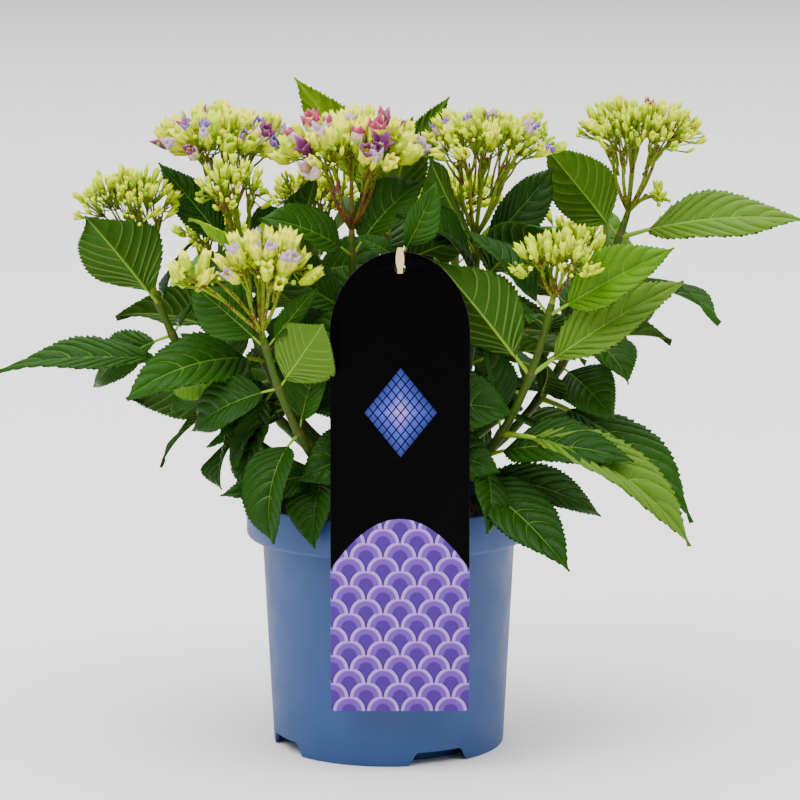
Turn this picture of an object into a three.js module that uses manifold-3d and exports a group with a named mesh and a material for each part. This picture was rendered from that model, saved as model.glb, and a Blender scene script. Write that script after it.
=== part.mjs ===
// A potted hydrangea: a five-litre nursery pot, a woody crown in its soil, fifteen shoots that curve
// up and out of the crown, the leaf pairs along them and a budding flower head on most tips, with a
// hanging label clipped to the front shoot.
// Millimetres, +Z up. The origin is on the ground at the pot's axis and -Y is the front.
// Azimuths are degrees round +Z: 0 is right (+X), 90 is the back, 270 is the front.
// The sizes of the pot, the label and the plant come first, then the rules that grow and build them.

import * as THREE from "three";
import { mergeVertices } from "three/addons/utils/BufferGeometryUtils.js";
import Module from "manifold-3d";

const wasm = await Module();
wasm.setup();

const CLEARANCE = 0.3; // between pieces that touch
const GROWING_ROOM = 0.8; // how much larger a leaf is taken when it looks for free space

// ---------------------------------------------------------------- pot, soil, label

const POT = {
  height: 197,
  rimRadius: 112,
  rimDepth: 31,
  rimEdge: 4, // radius of the rim's rounded lower corner
  wallTopRadius: 99.6,
  footRadius: 91.2,
  wall: 2.4,
  standRadius: 72, // the middle of the floor, which stands on the ground
  standRise: 3, // width of the slope up to the raised ring round it
  ringHeight: 11,
  notches: 4,
  notchAzimuth: 206,
  notchWidth: 38,
  notchSplay: 7, // how much wider a notch is at the ground, on each side
  drains: 8,
  drainRadius: 4,
  facets: 36,
};
const SOIL = { level: 184, facets: 24 };
const CROWN = { radius: 17, flare: 8, flareHeight: 9, height: 40, rootReach: 11, facets: 12 };
const LOW = 204; // heights at which shoots leave the crown
const HIGH = 215;

const LABEL = {
  width: 106,
  height: 355,
  thickness: 1,
  archHeight: 64,
  cornerRadius: 4,
  holeRadius: 4,
  holeDrop: 13, // from the top of the arch to the hole's centre
  centreX: 9,
  topHeight: 405,
  frontY: -113.6,
};
const CLIP = {
  width: 6.4,
  thickness: 2,
  ringRoom: 1.1, // between the ring and the stem that it is round
  ringWall: 2.2,
  ringHeight: 7,
  ringAt: 0.9, // on its shoot
  lift: 0.6, // from the label's top edge to the strap
  pegRadius: 3.2,
};

// ---------------------------------------------------------------- the plant

const STEM = { rootRadius: 4.2, tipRadius: 2.7, sides: 6, pieces: 4 };
const LEAF = {
  petiole: 0.16, // share of the leaf's length
  halfWidth: 0.37, // of the blade's length
  fold: 12, // degrees that each half of the blade rises from the midrib
  halfThickness: 0.009, // of the leaf's length
  petioleRadius: 0.016, // of the leaf's length
  rings: [0.28, 0.62], // shares of the blade at which its width is set
  facing: 55, // degrees that a leaf set crosswise to its shoot turns its face outward
};
const FLOWER = {
  peduncle: 7,
  peduncleRadius: 2.4,
  rayRadius: 1.5,
  fork: 0.55, // share of the way up at which a ray opens into its bunch
  bunchReach: 0.62, // of the head's radius
  bunchSpread: 0.4, // of the head's radius
  turn: 20, // degrees, of the first bunch
  // A bunch from its skirt up to its middle bud: how far out each ring stands, as a share of the
  // bunch's spread, and how far below the head's dome.
  bunch: [
    { bud: { reach: 0.72, lower: 24 }, between: { reach: 0.6, lower: 24 } },
    { bud: { reach: 1.08, lower: 3 }, between: { reach: 0.78, lower: 10 } },
    { bud: { reach: 0.5, lower: 7 }, between: { reach: 0.45, lower: 4 } },
    { bud: { reach: 0, lower: 0 }, between: { reach: 0, lower: 0 } },
  ],
};

function compass(azimuth, reach, height) {
  const turn = THREE.MathUtils.degToRad(azimuth);
  return new THREE.Vector3(reach * Math.cos(turn), reach * Math.sin(turn), height);
}

// A shoot leaves the crown at an azimuth and a height, leans out towards its knee and ends at its tip.
// Knee and tip are azimuth, distance from the pot's axis and height.
function shoot(name, root, knee, tip, leafyFrom, flowers, pairs) {
  const [azimuth, height] = root;
  const start = compass(azimuth, CROWN.rootReach, height);
  const curve = new THREE.QuadraticBezierCurve3(start, compass(...knee), compass(...tip));
  return { name, azimuth: tip[0], curve, leafyFrom, flowers, pairs };
}

// A leaf: the way it points, how steeply it rises from stem to tip, its length, how many degrees it
// arches over, how far it is twisted about its own length, and its breadth beside a usual leaf's.
function leaf(azimuth, rise, length, arch = 45, twist = 0, breadth = 1) {
  return { azimuth, rise, length, arch, twist, breadth };
}

// The leaves on one joint of a shoot, at a share of its curve.
function joint(at, ...leaves) {
  return { at, leaves };
}

// A flower head: the radius of its bud-covered top, how far that top's edge stands above the shoot's
// tip, how much its middle is higher, its bunches round the middle one, and how far and which way it
// leans out.
function corymb(radius, rise, dome, bunches, lean = 0, azimuth = 0) {
  return { radius, rise, dome, bunches, lean, azimuth };
}

// Crossed pairs: each joint's leaves stand a quarter turn round from those below, with small seeded
// differences, and the young ones near the tip are shorter and steeper.
function crossedPairs(seed, azimuth, firstAt, lastAt, count, length, rise) {
  const roll = dice(seed);
  const vary = (amount) => (roll() - 0.5) * 2 * amount;
  const joints = [];
  for (let i = 0; i < count; i += 1) {
    const share = i / (count - 1);
    const turn = azimuth + 90 * i + vary(12);
    const size = length * (1 - 0.4 * share * share);
    const sides = [];
    for (const side of [0, 180]) {
      const way = turn + side + vary(10);
      const slope = rise + 40 * share + vary(10);
      sides.push(leaf(way, slope, size * (1 + vary(0.1)), 50 + vary(15), vary(18)));
    }
    joints.push(joint(firstAt + (lastAt - firstAt) * share, ...sides));
  }
  return joints;
}

// A repeatable run of numbers from 0 to 1.
function dice(seed) {
  let state = seed;
  return () => {
    state = (Math.imul(state, 1664525) + 1013904223) >>> 0;
    return state / 4294967296;
  };
}

const SHOOTS = [
  shoot("front_left", [228, LOW], [238, 114, 206], [228, 141, 337], 0.36,
    [corymb(40, 60, 26, 4, 2, 0), corymb(19, 52, 16, 2, 54, 182)], [
      joint(0.42, leaf(283, -47, 66, 50, 0, 1.1), leaf(204, -8, 88, 30, -40, 0.6)),
      joint(0.65, leaf(240, -64, 88, 90, 0, 0.95), leaf(30, 70, 72, 30)),
      joint(0.84, leaf(329, 45, 72, 10, -124, 1.3), leaf(163, -27, 80, 50)),
      joint(0.97, leaf(13, 49, 62, 15, 20, 0.5), leaf(150, 34, 82, 30, 0, 0.95)),
    ]),
  shoot("front_right", [322, LOW], [317, 121, 206], [328, 147, 360], 0.28,
    [corymb(40, 40, 16, 4, 8, 0)], [
      joint(0.34, leaf(315, -28, 128, 40, 30, 0.7), leaf(5, -18, 114, 80, 20, 0.5)),
      joint(0.46, leaf(335, 3, 126, 50, 20, 0.68), leaf(273, -42, 74, 40, 0, 0.9)),
      joint(0.58, leaf(345, -28, 170, 75, 10, 0.5), leaf(144, 78, 84, 10, 0, 0.8)),
      joint(0.8, leaf(1, 32, 138, 20, 18, 0.56), leaf(202, 50, 124, 15, 105, 0.85)),
      joint(0.97, leaf(344, 37, 112, 15, 50, 0.72), leaf(165, 52, 92, 20, 0, 0.75)),
    ]),
  shoot("left", [180, LOW], [180, 132, 215], [181, 182, 357], 0.44,
    [corymb(44, 68, 26, 4, 22, 168)], [
      joint(0.5, leaf(255, -30, 70, 50), leaf(100, -10, 80, 40)),
      joint(0.62, leaf(217, -37, 70, 40, 0, 0.9), leaf(122, 0, 72, 40, 0, 0.9)),
      joint(0.78, leaf(176, -2, 152, 30, -20, 0.48), leaf(290, -15, 66, 40)),
      joint(0.88, leaf(141, -30, 100, 50, -30, 0.7), leaf(50, 30, 70, 30)),
      joint(0.97, leaf(229, 44, 112, 10, 0, 1.02), leaf(57, 45, 64, 30)),
    ]),
  shoot("left_rear", [160, HIGH], [168, 105, 240], [168, 128, 408], 0.44,
    [corymb(56, 70, 22, 5, 4, 180)], [
      joint(0.47, leaf(230, -20, 80, 50, -85), leaf(20, 0, 70, 50)),
      joint(0.55, leaf(200, -30, 84, 50, 0, 0.9), leaf(340, 0, 60, 40)),
      joint(0.63, leaf(262, -8, 80, 40), leaf(70, 0, 84, 45)),
      joint(0.75, leaf(273, 50, 76, 30, 0), leaf(114, 30, 92, 50)),
      joint(0.93, leaf(166, 49, 94, 20, -60, 0.6), leaf(38, 26, 66, 50)),
    ]),
  shoot("left_mid", [203, HIGH], [202, 100, 235], [201, 120, 390], 0.46,
    [corymb(33, 56, 26, 3, 9, 190)], [
      joint(0.52, leaf(235, -29, 80, 50), leaf(140, -5, 60, 40)),
      joint(0.61, leaf(262, -55, 96, 40), leaf(120, 0, 70, 40)),
      joint(0.7, leaf(209, -9, 122, 66, -40, 0.76), leaf(327, 0, 70, 50, 20)),
      joint(0.88, leaf(215, 20, 70, 60, -20, 1.1), leaf(284, 65, 66, 20)),
      joint(0.96, leaf(207, 52, 66, 40), leaf(28, 49, 70, 40)),
    ]),
  shoot("left_far", [122, HIGH], [146, 70, 250], [147, 88, 405], 0.5,
    [corymb(15, 36, 12, 2)], [
      joint(0.56, leaf(130, 10, 90, 50), leaf(320, 10, 60, 40)),
      joint(0.76, leaf(60, 20, 80, 50), leaf(210, 30, 60, 30)),
      joint(0.86, leaf(330, 10, 84, 40, 50), leaf(165, 10, 60, 40)),
      joint(0.93, leaf(300, 72, 78, 15, 0, 0.9), leaf(154, 42, 74, 40)),
    ]),
  shoot("centre", [254, HIGH], [245, 60, 250], [240, 56, 408], 0.4,
    [corymb(60, 74, 26, 5)], [
      joint(0.46, leaf(192, -18, 104, 40, 20), leaf(330, -20, 80, 50)),
      joint(0.54, leaf(205, -4, 104, 45), leaf(12, -10, 90, 50)),
      joint(0.66, leaf(170, 12, 84, 40), leaf(20, 12, 80, 50)),
      joint(0.78, leaf(195, 28, 92, 40), leaf(350, 20, 78, 50)),
      joint(0.95, leaf(203, 24, 84, 45, -10, 0.9), leaf(19, 44, 84, 50)),
    ]),
  shoot("right_mid", [346, HIGH], [348, 74, 250], [350, 69, 398], 0.38,
    [corymb(56, 80, 24, 5, 11, 0)], [
      joint(0.44, leaf(300, -25, 96, 50), leaf(60, 0, 90, 50)),
      joint(0.62, leaf(345, 5, 96, 50), leaf(240, 10, 84, 50)),
      joint(0.76, leaf(300, 10, 90, 50), leaf(90, 20, 80, 40)),
      joint(0.88, leaf(215, 32, 112, 60, 0, 0.7), leaf(323, 33, 98, 50)),
      joint(0.97, leaf(231, 54, 102, 10, 150), leaf(26, 50, 100, 25, 40, 0.7)),
    ]),
  shoot("right", [12, LOW], [2, 122, 215], [5, 187, 415], 0.48,
    [corymb(53, 70, 24, 5, 11, 0), corymb(9, 25, 4, 1, 27, 345)], [
      joint(0.55, leaf(342, -36, 156, 50, 42, 0.6), leaf(273, 50, 70, 30)),
      joint(0.65, leaf(312, -30, 70, 50, 80, 1.1), leaf(170, 5, 76, 40)),
      joint(0.74, leaf(300, -22, 78, 50, 50), leaf(37, 10, 80, 50)),
      joint(0.86, leaf(331, -12, 106, 50, 20), leaf(89, 40, 90, 40)),
      joint(0.96, leaf(356, 6, 146, 35, 45, 0.6), leaf(158, 55, 94, 10, 60, 1)),
    ]),
  shoot("label", [283, LOW], [275, 96, 215], [275, 98, 400], 0.4,
    [], [
      joint(0.46, leaf(215, -25, 84, 50), leaf(345, -20, 84, 50)),
      joint(0.62, leaf(185, -5, 86, 45), leaf(0, -5, 90, 45)),
      joint(0.8, leaf(170, 10, 78, 45), leaf(12, 10, 84, 45)),
      joint(0.99, leaf(24, 62, 66, 20, 40, 0.8), leaf(204, 29, 40, 40, 0, 0.7)),
    ]),
  shoot("rear_right", [36, HIGH], [36, 130, 225], [36, 185, 345], 0.4,
    [corymb(38, 46, 16, 3)], crossedPairs(11, 350, 0.46, 0.95, 5, 118, -15)),
  shoot("rear", [62, LOW], [72, 130, 220], [72, 180, 372], 0.4,
    [corymb(42, 48, 18, 4)], crossedPairs(23, 20, 0.46, 0.95, 5, 118, -15)),
  shoot("rear_mid", [88, HIGH], [90, 45, 300], [92, 60, 425], 0.4,
    [], [
      joint(0.45, leaf(100, 0, 110, 60, 0), leaf(310, 0, 60, 50, 0)),
      joint(0.62, leaf(40, 15, 90, 60, 0), leaf(170, 15, 80, 50, 0)),
      joint(0.76, leaf(110, 25, 110, 60, 0), leaf(0, 20, 80, 50, 0)),
      joint(0.87, leaf(292, 62, 116, 20, 0, 0.7), leaf(104, 50, 94, 40, 0)),
      joint(0.97, leaf(203, 54, 132, 12, 0, 0.55), leaf(330, 58, 108, 15, 0, 0.5)),
    ]),
  shoot("rear_left", [105, LOW], [108, 130, 220], [110, 180, 372], 0.4,
    [corymb(42, 48, 18, 4)], crossedPairs(37, 60, 0.46, 0.95, 5, 118, -15)),
  shoot("rear_far_left", [131, LOW], [142, 135, 220], [142, 185, 352], 0.4,
    [corymb(38, 46, 16, 3)], crossedPairs(41, 100, 0.46, 0.95, 5, 118, -15)),
];

// ---------------------------------------------------------------- solids from geometries

// A geometry as a solid: corners that coincide are welded, and what collapses is dropped.
function solidOf(geometry) {
  const bare = geometry.index ? geometry.toNonIndexed() : geometry.clone();
  bare.deleteAttribute("normal");
  bare.deleteAttribute("uv");
  const welded = mergeVertices(bare, 1e-4);
  const corners = welded.index.array;
  const triVerts = [];
  for (let i = 0; i < corners.length; i += 3) {
    const [a, b, c] = [corners[i], corners[i + 1], corners[i + 2]];
    if (a !== b && b !== c && c !== a) {
      triVerts.push(a, b, c);
    }
  }
  const mesh = new wasm.Mesh({
    numProp: 3,
    vertProperties: new Float32Array(welded.attributes.position.array),
    triVerts: new Uint32Array(triVerts),
  });
  return new wasm.Manifold(mesh);
}

function fused(solids) {
  return solids.reduce((whole, piece) => whole.add(piece));
}

// Moves every corner of a geometry to where the rule puts it.
function reshaped(geometry, rule) {
  const corners = geometry.attributes.position;
  for (let i = 0; i < corners.count; i += 1) {
    const moved = rule(corners.getX(i), corners.getY(i), corners.getZ(i));
    corners.setXYZ(i, moved.x, moved.y, moved.z);
  }
  return geometry;
}

// ---------------------------------------------------------------- paths

// A path is a rule that gives, for a share of its length, a centre and three directions: along it,
// to its side and up from it.
function shootPath({ curve, azimuth }) {
  const level = compass(azimuth - 90, 1, 0);
  return (share) => {
    const centre = curve.getPoint(share);
    const along = curve.getTangent(share);
    const up = new THREE.Vector3().crossVectors(level, along).normalize();
    return { centre, along, side: new THREE.Vector3().crossVectors(along, up), up };
  };
}

function straightPath(start, end) {
  const along = end.clone().sub(start).normalize();
  const level = Math.abs(along.z) > 0.9 ? new THREE.Vector3(1, 0, 0) : new THREE.Vector3(0, 0, 1);
  const side = new THREE.Vector3().crossVectors(along, level).normalize();
  const up = new THREE.Vector3().crossVectors(side, along);
  return (share) => ({ centre: start.clone().lerp(end, share), along, side, up });
}

// A leaf's midrib: an arc that ends where the leaf's way, rise and length say. The leaf turns its upper
// face outward, to the light, and its own twist is added to that.
function leafPath(base, { azimuth, rise, length, arch, twist }) {
  const slope = THREE.MathUtils.degToRad(rise);
  const bend = THREE.MathUtils.degToRad(Math.max(arch, 1));
  const way = compass(azimuth, Math.cos(slope), Math.sin(slope));
  const level = compass(azimuth - 90, 1, 0);
  const outward = new THREE.Vector3(base.x, base.y, 0).normalize();
  const facing = LEAF.facing * level.dot(outward) + twist;
  const side = level.clone().applyAxisAngle(way, THREE.MathUtils.degToRad(facing));
  const up = new THREE.Vector3().crossVectors(side, way);
  const radius = length / (2 * Math.sin(bend / 2));
  return (share) => {
    const pitch = bend / 2 - bend * share;
    const forward = radius * (Math.sin(bend / 2) - Math.sin(pitch));
    const lift = radius * (Math.cos(pitch) - Math.cos(bend / 2));
    const centre = base.clone().addScaledVector(way, forward).addScaledVector(up, lift);
    const along = way.clone().multiplyScalar(Math.cos(pitch)).addScaledVector(up, Math.sin(pitch));
    return { centre, along, side, up: new THREE.Vector3().crossVectors(side, along) };
  };
}

// ---------------------------------------------------------------- limbs, leaves, flower heads

// A round limb along a path, between two shares of it, tapering from thick to thin.
function limb(path, from, to, thick, thin, sides, pieces) {
  const geometry = new THREE.CylinderGeometry(1, 1, 1, sides, pieces);
  return reshaped(geometry, (x, y, z) => {
    const share = y + 0.5;
    const radius = thick + (thin - thick) * share;
    const { centre, side, up } = path(from + (to - from) * share);
    return centre.addScaledVector(side, x * radius).addScaledVector(up, z * radius);
  });
}

// Half the width of a blade at a share of its length, from 0 at either end to 1 at its widest.
function bladeOutline(share) {
  const widest = 0.4 ** 0.7 * 0.6 ** 1.05;
  return (share ** 0.7 * (1 - share) ** 1.05) / widest;
}

// A whole leaf: a thin petiole from the stem's middle and a blade folded up along its midrib, as one
// skin over rings of four corners. Room makes it larger all round.
function leafSolid(path, { length, breadth }, room = 0) {
  const fold = THREE.MathUtils.degToRad(LEAF.fold);
  const bladeLength = (1 - LEAF.petiole) * length;
  const stalk = LEAF.petioleRadius * length;
  const rings = [
    { share: 0, width: 0, depth: 0 },
    { share: 0, width: stalk + room, depth: stalk + room },
    { share: LEAF.petiole, width: 0.8 * stalk + room, depth: 0.8 * stalk + room },
  ];
  for (const share of LEAF.rings) {
    rings.push({
      share: LEAF.petiole + (1 - LEAF.petiole) * share,
      width: LEAF.halfWidth * bladeLength * breadth * bladeOutline(share) + room,
      depth: LEAF.halfThickness * length + room,
    });
  }
  rings.push({ share: 1 + room / length, width: 0, depth: 0 });
  const last = rings.length - 1;
  return solidOf(reshaped(new THREE.SphereGeometry(1, 4, last), (x, y, z) => {
    const ring = Math.round((last * Math.acos(THREE.MathUtils.clamp(y, -1, 1))) / Math.PI);
    const { share, width, depth } = rings[ring];
    const isSide = Math.abs(x) > Math.abs(z);
    const across = isSide ? -Math.sign(x) * width : 0;
    const lift = isSide ? 0 : Math.sign(z) * depth;
    const folded = ring > 2 ? fold : 0;
    const { centre, side, up } = path(share);
    centre.addScaledVector(side, across * Math.cos(folded));
    return centre.addScaledVector(up, Math.abs(across) * Math.sin(folded) + lift);
  }));
}

// One flower head: rays part at the shoot's tip, and each spreads into a bunch of buds. The buds' tips
// lie on one dome.
function flowerHead(tip, along, { radius, rise, dome, bunches, lean, azimuth }) {
  const foot = tip.clone().addScaledVector(along, CLEARANCE);
  const hub = foot.clone().addScaledVector(along, FLOWER.peduncle);
  const middle = tip.clone().add(compass(azimuth, lean, 0));
  const onDome = (x, y, lower) => {
    const spread = Math.hypot(x, y) / radius;
    return middle.clone().add(new THREE.Vector3(x, y, rise + dome * (1 - spread ** 2) - lower));
  };
  const stalk = limb(straightPath(foot, hub), 0, 1, FLOWER.peduncleRadius, FLOWER.peduncleRadius, 5, 1);
  const pieces = [solidOf(stalk)];
  const parting = hub.clone().addScaledVector(along, -2);
  const small = bunches < 3;
  for (let i = small ? 1 : 0; i <= bunches; i += 1) {
    const away = i === 0 || bunches === 1 ? 0 : FLOWER.bunchReach * radius;
    const { x, y } = compass((360 * i) / bunches + FLOWER.turn, away, 0);
    const spread = bunches === 1 ? radius : FLOWER.bunchSpread * radius;
    const fork = parting.clone().lerp(onDome(x, y, 0), FLOWER.fork);
    pieces.push(budBunch(parting, fork, x, y, spread, onDome));
  }
  return fused(pieces);
}

// A ray and its bunch: three buds round a middle one, as one skin over rings of six corners.
function budBunch(parting, fork, x, y, spread, onDome) {
  const last = 6;
  return solidOf(reshaped(new THREE.SphereGeometry(1, 6, last), (px, py, pz) => {
    const ring = Math.round((last * Math.acos(THREE.MathUtils.clamp(py, -1, 1))) / Math.PI);
    const turn = Math.atan2(-pz, -px);
    if (ring < 3) {
      const radius = ring === 0 ? 0 : FLOWER.rayRadius;
      const centre = ring < 2 ? parting : fork;
      return centre.clone().add(new THREE.Vector3(Math.cos(turn), Math.sin(turn), 0)
        .multiplyScalar(radius));
    }
    const isBud = Math.round((3 * turn) / Math.PI) % 2 === 0;
    const { reach, lower } = FLOWER.bunch[ring - 3][isBud ? "bud" : "between"];
    const out = spread * reach;
    return onDome(x + out * Math.cos(turn), y + out * Math.sin(turn), lower);
  }));
}

// ---------------------------------------------------------------- growing into free space

// A leaf that meets something turns a little one way or the other, then rises or dips, and is left
// off if it still finds no room.
const TURNS = [
  [0, 0], [6, 0], [-6, 0], [0, 7], [0, -7], [12, 4], [-12, 4], [10, -10], [-10, -10],
  [18, 8], [-18, 8], [24, -6], [-24, -6], [0, 18], [0, -18], [32, 10], [-32, 10],
];

function boxesMeet(a, b) {
  return [0, 1, 2].every((i) => a.min[i] <= b.max[i] && b.min[i] <= a.max[i]);
}

function obstacle(solid, owner) {
  return { solid, owner, box: solid.boundingBox() };
}

function meets(solid, obstacles, owner) {
  const box = solid.boundingBox();
  return obstacles.some((other) => (
    other.owner !== owner && boxesMeet(box, other.box) && !solid.intersect(other.solid).isEmpty()));
}

function growLeaf(base, wanted, obstacles, owner) {
  for (const [turn, tilt] of TURNS) {
    const grown = { ...wanted, azimuth: wanted.azimuth + turn, rise: wanted.rise + tilt };
    const path = leafPath(base, grown);
    if (!meets(leafSolid(path, grown, GROWING_ROOM), obstacles, owner)) {
      return leafSolid(path, grown);
    }
  }
  return null;
}

// Every shoot's bough, leaf mass and flower head. Limbs and heads take their places first.
function growPlant(crownRoom, fixtures) {
  const limbs = SHOOTS.map((one) => {
    const path = shootPath(one);
    const { leafyFrom } = one;
    const radiusAt = (share) => STEM.rootRadius + (STEM.tipRadius - STEM.rootRadius) * share;
    const gap = CLEARANCE / one.curve.getLength();
    const boughGeometry = limb(path, 0, leafyFrom, radiusAt(0), radiusAt(leafyFrom), STEM.sides, STEM.pieces);
    const leafyRadius = radiusAt(leafyFrom);
    const stemGeometry = limb(path, leafyFrom + gap, 1, leafyRadius, radiusAt(1), STEM.sides, STEM.pieces);
    const { centre, along } = path(1);
    const heads = one.flowers.map((head) => flowerHead(centre, along, head));
    return {
      one,
      path,
      bough: solidOf(boughGeometry).subtract(crownRoom),
      stem: solidOf(stemGeometry),
      head: heads.length > 0 ? fused(heads) : null,
    };
  });

  const obstacles = fixtures.map((solid) => obstacle(solid, "fixture"));
  for (const { one, bough, stem, head } of limbs) {
    obstacles.push(obstacle(bough, "bough"), obstacle(stem, one.name));
    if (head) {
      obstacles.push(obstacle(head, "head"));
    }
  }
  return limbs.map(({ one, path, bough, stem, head }) => {
    const mass = [stem];
    for (const { at, leaves } of one.pairs) {
      for (const wanted of leaves) {
        const grown = growLeaf(path(at).centre, wanted, obstacles, one.name);
        if (grown) {
          mass.push(grown);
          obstacles.push(obstacle(grown, one.name));
        }
      }
    }
    return { name: one.name, bough, leaves: fused(mass), flowers: head };
  });
}

// ---------------------------------------------------------------- pot and crown

function turned(points, facets) {
  const outline = points.map(([radius, height]) => new THREE.Vector2(radius, height));
  const geometry = new THREE.LatheGeometry(outline, facets);
  return geometry.rotateX(Math.PI / 2);
}

function makePot() {
  const { height, rimRadius, rimDepth, rimEdge, wallTopRadius, footRadius, wall } = POT;
  const step = height - rimDepth;
  const rimFoot = [];
  for (let i = 0; i <= 2; i += 1) {
    const turn = (Math.PI / 2) * (i / 2);
    rimFoot.push([
      rimRadius - rimEdge + rimEdge * Math.sin(turn),
      step + rimEdge - rimEdge * Math.cos(turn),
    ]);
  }
  const standEdge = POT.standRadius + POT.standRise;
  const solid = solidOf(turned([
    [0, 0],
    [POT.standRadius, 0],
    [standEdge, POT.ringHeight],
    [footRadius - wall, POT.ringHeight],
    [footRadius - wall, 0],
    [footRadius, 0],
    [wallTopRadius, step],
    ...rimFoot,
    [rimRadius, height],
    [rimRadius - wall, height],
    [rimRadius - wall, step + wall],
    [wallTopRadius - wall, step + wall],
    [footRadius - wall, POT.ringHeight + wall],
    [standEdge - wall, POT.ringHeight + wall],
    [POT.standRadius - wall, wall],
    [0, wall],
    [0, 0],
  ], POT.facets));
  return cutFoot(solid);
}

// The notches in the foot's edge and the drain holes in the raised ring.
function cutFoot(pot) {
  const { ringHeight, notchWidth, notchSplay, footRadius, wall } = POT;
  const half = notchWidth / 2;
  const shape = new THREE.Shape([
    new THREE.Vector2(-half - notchSplay, -1),
    new THREE.Vector2(half + notchSplay, -1),
    new THREE.Vector2(half, ringHeight - 0.5),
    new THREE.Vector2(-half, ringHeight - 0.5),
  ]);
  let cut = pot;
  for (let i = 0; i < POT.notches; i += 1) {
    const notch = new THREE.ExtrudeGeometry(shape, { depth: 3 * wall + 12, bevelEnabled: false });
    notch.rotateX(Math.PI / 2);
    notch.translate(0, -footRadius + wall + 9, 0);
    notch.rotateZ(THREE.MathUtils.degToRad(POT.notchAzimuth + (360 / POT.notches) * i + 90));
    cut = cut.subtract(solidOf(notch));
  }
  const drainReach = (POT.standRadius + POT.standRise + footRadius - wall) / 2;
  for (let i = 0; i < POT.drains; i += 1) {
    const drain = new THREE.CylinderGeometry(POT.drainRadius, POT.drainRadius, 12, 8);
    drain.rotateX(Math.PI / 2);
    const { x, y } = compass((360 / POT.drains) * (i + 0.5), drainReach, 0);
    drain.translate(x, y, ringHeight);
    cut = cut.subtract(solidOf(drain));
  }
  return cut;
}

function makeSoil() {
  const { wall, footRadius, wallTopRadius, ringHeight, standRadius, standRise } = POT;
  const step = POT.height - POT.rimDepth + wall;
  const room = CLEARANCE + 0.4;
  const standEdge = standRadius + standRise;
  return solidOf(turned([
    [0, wall + CLEARANCE],
    [standRadius - wall - room, wall + CLEARANCE],
    [standEdge - wall - room, ringHeight + wall + CLEARANCE],
    [footRadius - wall - room, ringHeight + wall + CLEARANCE],
    [wallTopRadius - wall - room, step],
    [wallTopRadius - wall - room, SOIL.level - 2],
    [wallTopRadius - wall - room - 6, SOIL.level],
    [0, SOIL.level],
    [0, wall + CLEARANCE],
  ], SOIL.facets));
}

// The woody crown: a short stump that flares at the soil, with a knobbly outline. Room enlarges it.
function makeCrown(room) {
  const { radius, flare, flareHeight, height, facets } = CROWN;
  const geometry = new THREE.CylinderGeometry(1, 1, 1, facets, 4);
  return solidOf(reshaped(geometry, (x, y, z) => {
    const share = y + 0.5;
    const level = share * height;
    const turn = Math.atan2(z, x);
    const domed = Math.sqrt(1 - (0.85 * share) ** 6);
    const knobs = 1 + 0.07 * Math.cos(3 * turn + 0.6) + 0.05 * Math.cos(5 * turn + share * 4);
    const spread = (radius + flare * Math.exp(-level / flareHeight)) * domed * knobs + room;
    const size = Math.hypot(x, z) * spread;
    const foot = SOIL.level + CLEARANCE;
    return new THREE.Vector3(Math.cos(turn) * size, -Math.sin(turn) * size, foot + level + room * share);
  }));
}

// ---------------------------------------------------------------- label and clip

function makeLabel() {
  const { width, height, archHeight, cornerRadius, holeRadius, holeDrop, thickness } = LABEL;
  const half = width / 2;
  const foot = LABEL.topHeight - height;
  const shoulder = LABEL.topHeight - archHeight;
  const shape = new THREE.Shape();
  shape.moveTo(-half + cornerRadius, foot);
  shape.lineTo(half - cornerRadius, foot);
  shape.absarc(half - cornerRadius, foot + cornerRadius, cornerRadius, -Math.PI / 2, 0);
  shape.lineTo(half, shoulder);
  shape.absellipse(0, shoulder, half, archHeight, 0, Math.PI);
  shape.lineTo(-half, foot + cornerRadius);
  shape.absarc(-half + cornerRadius, foot + cornerRadius, cornerRadius, Math.PI, 1.5 * Math.PI);
  const hole = new THREE.Path();
  hole.absarc(0, LABEL.topHeight - holeDrop, holeRadius, 0, 2 * Math.PI, true);
  shape.holes.push(hole);
  const card = new THREE.ExtrudeGeometry(shape, {
    depth: thickness,
    bevelEnabled: false,
    curveSegments: 9,
  });
  card.rotateX(Math.PI / 2);
  card.translate(LABEL.centreX, LABEL.frontY + thickness, 0);
  return solidOf(card);
}

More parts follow.
